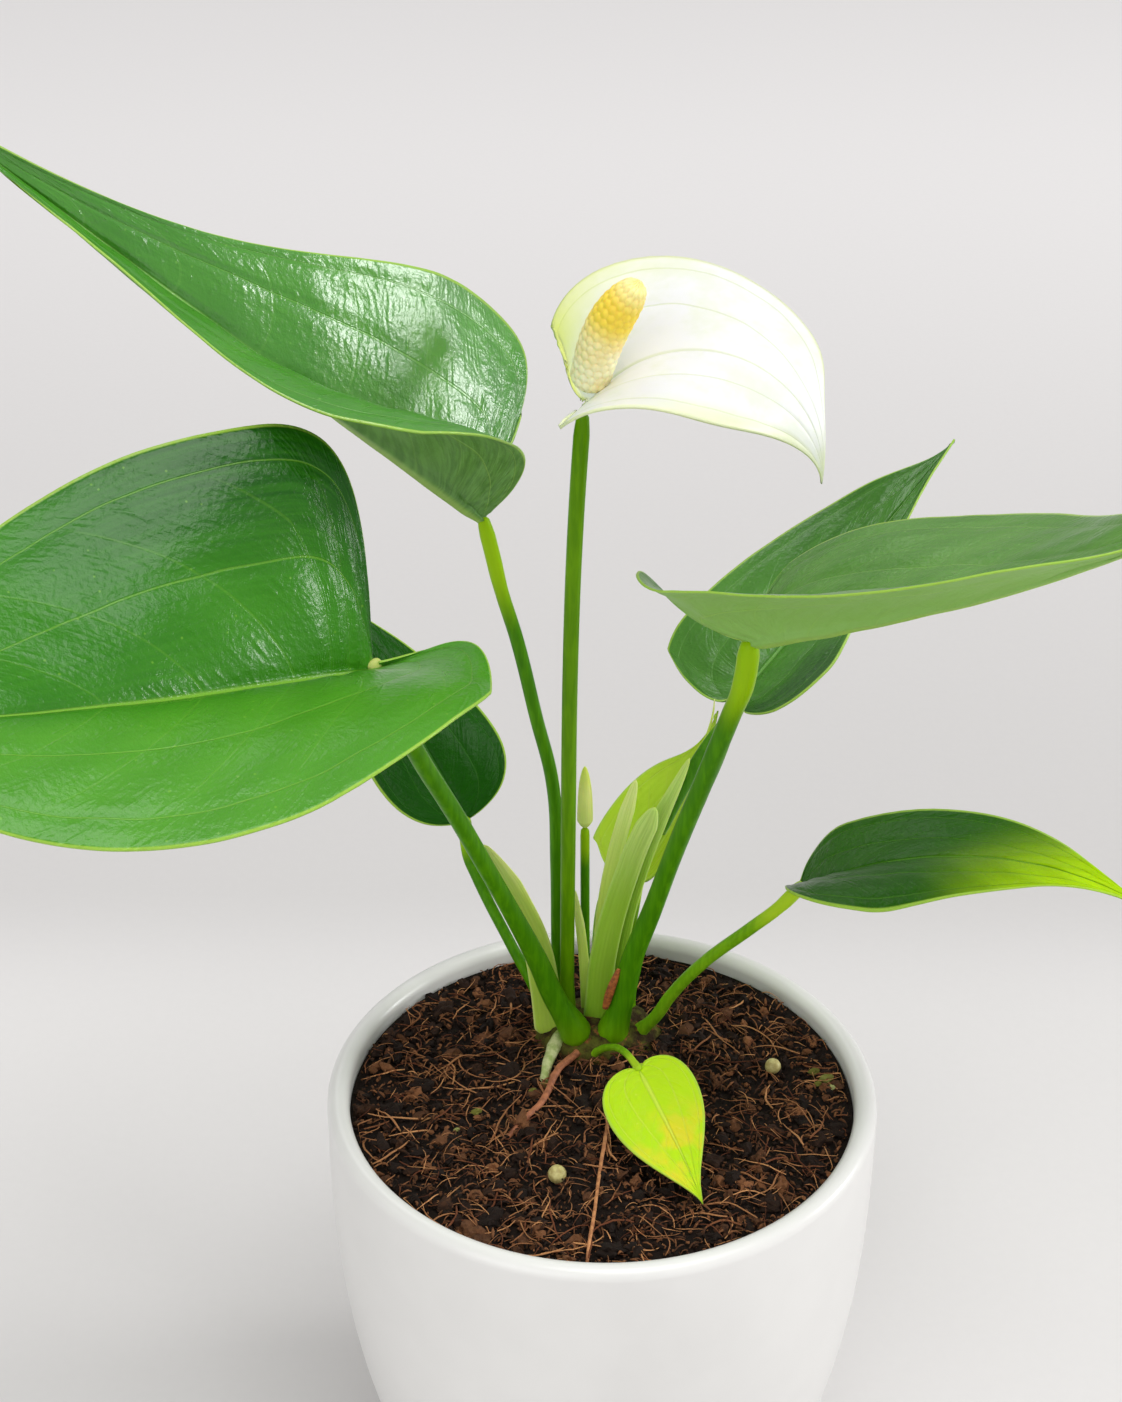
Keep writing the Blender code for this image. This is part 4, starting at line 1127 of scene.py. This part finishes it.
knob_green = stalk_material("knob_green", srgb(198, 206, 120), srgb(172, 190, 92), srgb(206, 214, 140), 0.9)
SMALL_FINISH = {
    "dry_scale": (dry, "crown"), "leaf_knob": (knob_green, "leaf"), "spear_thread": (pale_bract, "bract"),
}

for name, (size, flat, route) in SMALL_RODS.items():
    slim = lambda u, size=size: size * (0.35 + 0.65 * sin(pi * min(u * 0.9 + 0.1, 1.0)) ** 0.7)
    rod = tube(name, route, slim, rows=48, squash=lambda u, flat=flat: flat)
    keep(rod, *SMALL_FINISH.get(name, (spear_green, "young_leaf")))

# %% [markdown]
# ## Crown and roots
#
# All stalks spring from a short knobbly stem. Old leaf scars and new root tips make it lumpy, so a sphere
# primitive is pushed in and out by noise. Three roots leave it over the mix.

# %% Crown
CROWN_CENTRE = Vector((-0.001, 0.0255, 0.1185))
CROWN_RADII = Vector((0.0165, 0.013, 0.0095))

clear_selection()
bpy.ops.mesh.primitive_uv_sphere_add(segments=96, ring_count=60, radius=1.0)
crown = bpy.context.object
crown.name = "knobbly_crown"
for vertex in crown.data.vertices:
    lump = 1 + 0.05 * noise.noise(vertex.co * 2.2) + 0.05 * noise.noise(vertex.co * 6)
    lump += 0.04 * noise.noise(vertex.co * 14)
    vertex.co = CROWN_CENTRE + Vector(a * b * lump for a, b in zip(vertex.co, CROWN_RADII))
bpy.ops.object.shade_smooth()

bark, bark_shader = new_material("crown_skin", roughness=0.85)
place = object_coordinates(bark)
patches = fade(bark, speckle(bark, place, 180, detail=4.0), 0.38, 0.62)
colour = blend(bark, patches, srgb(48, 34, 18), srgb(84, 84, 30))
colour = blend(bark, fade(bark, speckle(bark, place, 420), 0.55, 0.7), colour, srgb(134, 84, 46))
connect(bark, bark_shader, colour=colour, height=speckle(bark, place, 700), bump=0.9, distance=0.0008)
bark_shader.inputs["Specular IOR Level"].default_value = 0.15
keep(crown, bark, "crown", "crown")

# %% [markdown]
# ## Potting mix
#
# The mix is composted bark and coir: dark crumbs of all sizes with red-brown fibres lying through them. A
# rough bed fills the pot. One crumb is modelled for each size, and copied thousands of times with its
# own turn, size and tone, each set of copies in one mesh; the fibres are built one by one. Every draw comes
# from a seeded generator.

# %% Surface of the mix
SOIL_LEVEL = 0.120
SOIL_ROUGHNESS = 0.0012
SOIL_LUMP = 1 / 70
MOUND_HEIGHT = 0.0015
MOUND_RADIUS = 0.035
SOIL_REACH = RIM_RADIUS - LIP_THICKNESS - 0.0003


def soil_height(x, y):
    """Uneven surface of the mix, a little higher round the crown."""
    spot = Vector((x, y, 0.0))
    rough = noise.noise(spot / SOIL_LUMP) + 0.4 * noise.noise(spot / SOIL_LUMP * 2.1)
    mound = MOUND_HEIGHT * max(0.0, 1 - (spot.xy - CROWN_CENTRE.xy).length / MOUND_RADIUS)
    return SOIL_LEVEL + mound + SOIL_ROUGHNESS * rough


# %% Bed of the mix
BED_DEPTH = 0.035


def bed_point(u, v):
    turn = tau * (0.0 if v > 0.9999 else v)
    if u < 0.8:
        radius = SOIL_REACH * u / 0.8
        x, y = radius * cos(turn), radius * sin(turn)
        crumbs = 0.0006 * noise.noise(Vector((x, y, 0)) * 420) + 0.0005 * noise.noise(Vector((x, y, 7)) * 900)
        return Vector((x, y, soil_height(x, y) - 0.0008 + crumbs))
    down = (u - 0.8) / 0.2
    radius = SOIL_REACH if down < 0.5 else SOIL_REACH * 2 * (1 - down)
    return Vector((radius * cos(turn), radius * sin(turn), SOIL_LEVEL - BED_DEPTH * min(1.0, down * 2)))


bed = moved_grid("mix_bed", 150, 200, bed_point)
print("bed spans", [round(side / MM, 1) for side in bed.dimensions], "mm")


# %% Finish of the mix
def earth_material(name, tones, scale, strength):
    """Crumbly colour between tones, picked by each copy's own tone where it has one."""
    material, shader = new_material(name, roughness=0.9)
    place = object_coordinates(material)
    own = add(material, "Attribute", {}, attribute_name="tone").outputs["Fac"]
    grain = speckle(material, place, scale, detail=5.0)
    pick = calc(material, "MULTIPLY_ADD", own, 0.75, calc(material, "MULTIPLY", grain, 0.35))
    ramp = add(material, "ValToRGB", {0: pick})
    stops = ramp.color_ramp.elements
    for i, tone in enumerate(tones):
        stop = stops[i] if i < 2 else stops.new(0.5)
        stop.position = 0.1 + 0.8 * i / (len(tones) - 1)
        stop.color = tone
    connect(material, shader, colour=ramp.outputs[0], height=grain, bump=strength, distance=0.0005)
    shader.inputs["Specular IOR Level"].default_value = 0.3
    return material


dark_earth = earth_material(
    "dark_crumbs", [srgb(15, 8, 4), srgb(43, 25, 14), srgb(84, 51, 31), srgb(138, 90, 56)], 900, 0.9
)
coir = earth_material(
    "coir_fibre", [srgb(62, 33, 20), srgb(112, 63, 38), srgb(158, 98, 60), srgb(208, 150, 98)], 1500, 0.4
)
keep(bed, dark_earth, "soil", "soil")


# %% Copies of one shape
def copies(name, corners, faces, transforms, tones):
    """One mesh that holds a copy of a small shape for each transform, with a tone for each copy."""
    corners = np.array(corners, float)
    count = len(transforms)
    places = np.einsum("nij,kj->nki", np.array([m[0] for m in transforms]), corners)
    places += np.array([m[1] for m in transforms])[:, None, :]
    turned = [tuple(i + n * len(corners) for i in face) for n in range(count) for face in faces]
    mesh = bpy.data.meshes.new(name)
    mesh.from_pydata(places.reshape(-1, 3).tolist(), [], turned)
    tone = mesh.attributes.new("tone", "FLOAT", "FACE")
    tone.data.foreach_set("value", np.repeat(np.array(tones, np.float32), len(faces)))
    piece = bpy.data.objects.new(name, mesh)
    bpy.context.scene.collection.objects.link(piece)
    return piece


def lump(subdivisions, seed):
    """Corners and faces of one crumb: a small sphere primitive, dented by noise."""
    clear_selection()
    bpy.ops.mesh.primitive_ico_sphere_add(subdivisions=subdivisions, radius=1.0)
    ball = bpy.context.object
    corners = []
    for vertex in ball.data.vertices:
        spot = vertex.co + Vector((seed, 0, 0))
        corners.append(vertex.co * (1 + 0.7 * noise.noise(spot * 1.2) + 0.45 * noise.noise(spot * 2.9)))
    faces = [tuple(face.vertices) for face in ball.data.polygons]
    bpy.data.objects.remove(ball)
    return [tuple(corner) for corner in corners], faces


# %% Crumbs
draw = random.Random(7)


def free_spot(margin):
    """A place on the mix, clear of the pot's wall."""
    while True:
        x, y = draw.uniform(-1, 1) * SOIL_REACH, draw.uniform(-1, 1) * SOIL_REACH
        if (x * x + y * y) ** 0.5 < SOIL_REACH - margin:
            return x, y


def crumb_transforms(count, smallest, largest):
    transforms = []
    for _ in range(count):
        size = (smallest + (largest - smallest) * draw.random() ** 2.2) * MM
        x, y = free_spot(size)
        turn = Matrix.Rotation(draw.uniform(0, tau), 3, "Z") @ Matrix.Rotation(draw.uniform(0, tau), 3, "X")
        ratios = (draw.uniform(0.7, 1.4), draw.uniform(0.7, 1.2), draw.uniform(0.5, 0.9))
        stretch = Matrix.Diagonal(Vector(ratios) * size)
        height = soil_height(x, y) - size * 0.1 + draw.uniform(-0.3, 0.6) * MM
        transforms.append((np.array(turn @ stretch), np.array((x, y, height))))
    return transforms


# How many, smallest and largest radius in millimetres, and how finely each crumb is divided
CRUMB_SIZES = [(110, 1.5, 2.7, 3), (800, 0.6, 1.8, 2), (7000, 0.25, 0.75, 1)]

for number, (count, smallest, largest, subdivisions) in enumerate(CRUMB_SIZES):
    places = crumb_transforms(count, smallest, largest)
    corners, faces = lump(subdivisions, number * 3.7)
    tones = [draw.random() ** (5.0 if number == 0 else 2.4) for _ in places]
    crumbs = copies(f"crumbs_{number}", corners, faces, places, tones)
    keep(crumbs, dark_earth, "soil")

# %% Green bits
# Place on the mix and size in millimetres of the small mossy lumps left of the crown and at the right rim
BITS = [(-30.6, -5.9, 1.2), (-16.9, 1.4, 0.9), (-35.2, -12.8, 0.7), (-35.1, -16.5, 0.6), (-13.5, 3.5, 1.0),
        (56.5, 7.3, 1.6), (53.5, 9.5, 1.3), (57.0, 3.5, 1.1), (54.0, 5.0, 0.9)]
corners, faces = lump(2, 9.1)
places = []
for x, y, size in BITS:
    scale = Matrix.Diagonal((size * MM, size * 0.8 * MM, size * 0.7 * MM))
    places.append((np.array(scale), np.array((x * MM, y * MM, soil_height(x * MM, y * MM) + 0.9 * MM))))
moss = earth_material(
    "moss_bits", [srgb(70, 66, 24), srgb(112, 112, 44), srgb(150, 156, 78), srgb(190, 196, 130)], 900, 0.7
)
keep(copies("green_bits", corners, faces, places, [draw.random() for _ in places]), moss, "soil")

# %% [markdown]
# ### Fibres
#
# A coir fibre is a thin, stiff, slightly curved hair. Each one here is a chain of short steps whose heading
# drifts, wrapped in a four-sided tube. Fibres can't share one shape because they all bend differently, so
# their rings are worked out one by one and joined in one mesh.


# %% Fibres
def fibre_rings(x, y, length, thickness, steps):
    """Rings of four corners along one fibre that wanders over the mix."""
    heading, drift = draw.uniform(0, tau), draw.uniform(-0.2, 0.2)
    lift, slope = draw.uniform(0.1, 1.2) * MM, draw.uniform(-0.22, 0.22)
    rings = []
    for i in range(steps + 1):
        share = i / steps
        reach = (x * x + y * y) ** 0.5
        if reach > SOIL_REACH - 0.0012:
            x, y = x * (SOIL_REACH - 0.0012) / reach, y * (SOIL_REACH - 0.0012) / reach
        height = soil_height(x, y) + lift + slope * length * (share - 0.5) + 0.6 * MM * sin(pi * share)
        size = thickness * (0.55 + 0.45 * sin(pi * min(1.0, share * 1.2 + 0.1)))
        side = Vector((-sin(heading), cos(heading), 0)) * size
        rise = Vector((0, 0, size))
        centre = Vector((x, y, height))
        rings.append([centre + side, centre + rise, centre - side, centre - rise])
        x += cos(heading) * length / steps
        y += sin(heading) * length / steps
        heading += drift + draw.uniform(-0.25, 0.25)
    return rings


def make_fibres(name, count, lengths, thicknesses, steps, material):
    corners, faces, tones = [], [], []
    for _ in range(count):
        x, y = free_spot(2 * MM)
        rings = fibre_rings(x, y, draw.uniform(*lengths) * MM, draw.uniform(*thicknesses) * MM, steps)
        start, tone = len(corners), draw.random()
        corners += [tuple(corner) for ring in rings for corner in ring]
        made = [(3, 2, 1, 0), tuple(4 * steps + i for i in range(4))]
        for ring in range(0, 4 * steps, 4):
            pairs = [(ring + i, ring + (i + 1) % 4) for i in range(4)]
            made += [(near, far, far + 4, near + 4) for near, far in pairs]
        faces += [tuple(start + i for i in face) for face in made]
        tones += [tone] * len(made)
    mesh = bpy.data.meshes.new(name)
    mesh.from_pydata(corners, [], faces)
    mesh.attributes.new("tone", "FLOAT", "FACE").data.foreach_set("value", np.array(tones, np.float32))
    piece = bpy.data.objects.new(name, mesh)
    bpy.context.scene.collection.objects.link(piece)
    clear_selection()
    piece.select_set(True)
    bpy.context.view_layer.objects.active = piece
    bpy.ops.object.mode_set(mode="EDIT")
    bpy.ops.mesh.select_all(action="SELECT")
    bpy.ops.mesh.normals_make_consistent(inside=False)
    bpy.ops.object.mode_set(mode="OBJECT")
    bpy.ops.object.shade_smooth()
    return keep(piece, material, "soil")


make_fibres("short_bits", 1500, (1.0, 3.6), (0.16, 0.42), 3, dark_earth)
make_fibres("long_fibres", 170, (8, 20), (0.16, 0.32), 9, coir)
make_fibres("fine_fibres", 900, (3, 9), (0.08, 0.18), 6, coir)

# %% Roots
# Radii, then x, y and the height over the mix, in millimetres
ROOTS = {
    "root_pale": (2.0, 1.0, [(-9.5, 22, 2.4), (-12.3, 15, 2.0), (-13.6, 9.5, 1.2), (-14.8, 4, -1.2)]),
    "root_brown": (1.0, 0.7, [
        (-5, 17.5, 0.5), (-7, 13, 2.0), (-10.3, 9.0, 1.8), (-14.7, -3, 1.5), (-19, -9.5, 1.2),
        (-23.5, -15, -1.0),
    ]),
    "root_thin": (0.5, 0.4, [
        (1.5, -7, -1.0), (1.2, -12, 1.1), (-0.8, -28.5, 1.2), (-2.4, -44, 1.2), (-3.9, -56, 1.0),
        (-4.2, -59, -1.5),
    ]),
}
ROOT_TONES = {
    "root_pale": (srgb(196, 200, 146), srgb(150, 168, 92)),
    "root_brown": (srgb(184, 114, 76), srgb(140, 82, 54)),
    "root_thin": (srgb(204, 142, 90), srgb(164, 104, 64)),
}

for name, (low, high, track) in ROOTS.items():
    route = [(x, y, soil_height(x * MM, y * MM) / MM + over) for x, y, over in track]
    slim = lambda u, a=low, b=high: a + (b - a) * u
    root = tube(f"{name}_skin", route, slim, rows=90, columns=14, bumps=0.18)
    skin, skin_shader = new_material(name + "_skin", roughness=0.65)
    place = object_coordinates(skin)
    light, dark = ROOT_TONES[name]
    colour = blend(skin, fade(skin, speckle(skin, place, 500), 0.35, 0.65), light, dark)
    connect(skin, skin_shader, colour=colour, height=speckle(skin, place, 1500), bump=0.4, distance=0.0003)
    keep(root, skin, "bract" if name == "root_pale" else "root", name)

# %% Pellets
PELLETS = {"pellet_front": ((-10.9, -30.5, 122), 2.2), "pellet_right": ((43.2, 10.7, 121.6), 2.0)}
shell, shell_shader = new_material("pellet_shell", roughness=0.45)
place = object_coordinates(shell)
spots = fade(shell, speckle(shell, place, 600), 0.35, 0.65)
colour = blend(shell, spots, srgb(206, 196, 130), srgb(168, 152, 90))
connect(shell, shell_shader, colour=colour, height=speckle(shell, place, 1800), bump=0.3, distance=0.0003)

for name, (centre, radius) in PELLETS.items():
    clear_selection()
    bpy.ops.mesh.primitive_uv_sphere_add(segments=40, ring_count=24, radius=1.0)
    ball = bpy.context.object
    ball.name = name + "_shell"
    for vertex in ball.data.vertices:
        dent = 1 + 0.04 * noise.noise(vertex.co * 2.5)
        vertex.co = (Vector(centre) + vertex.co * radius * dent) * MM
    bpy.ops.object.shade_smooth()
    keep(ball, shell, "pellet", name)

# %% [markdown]
# ## Finish
#
# The dressed plant must not outgrow the solids that it stands for, so the box round its shown pieces is
# worked out.

# %% Measure the dressed plant's box
bpy.context.view_layer.update()
low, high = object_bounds()
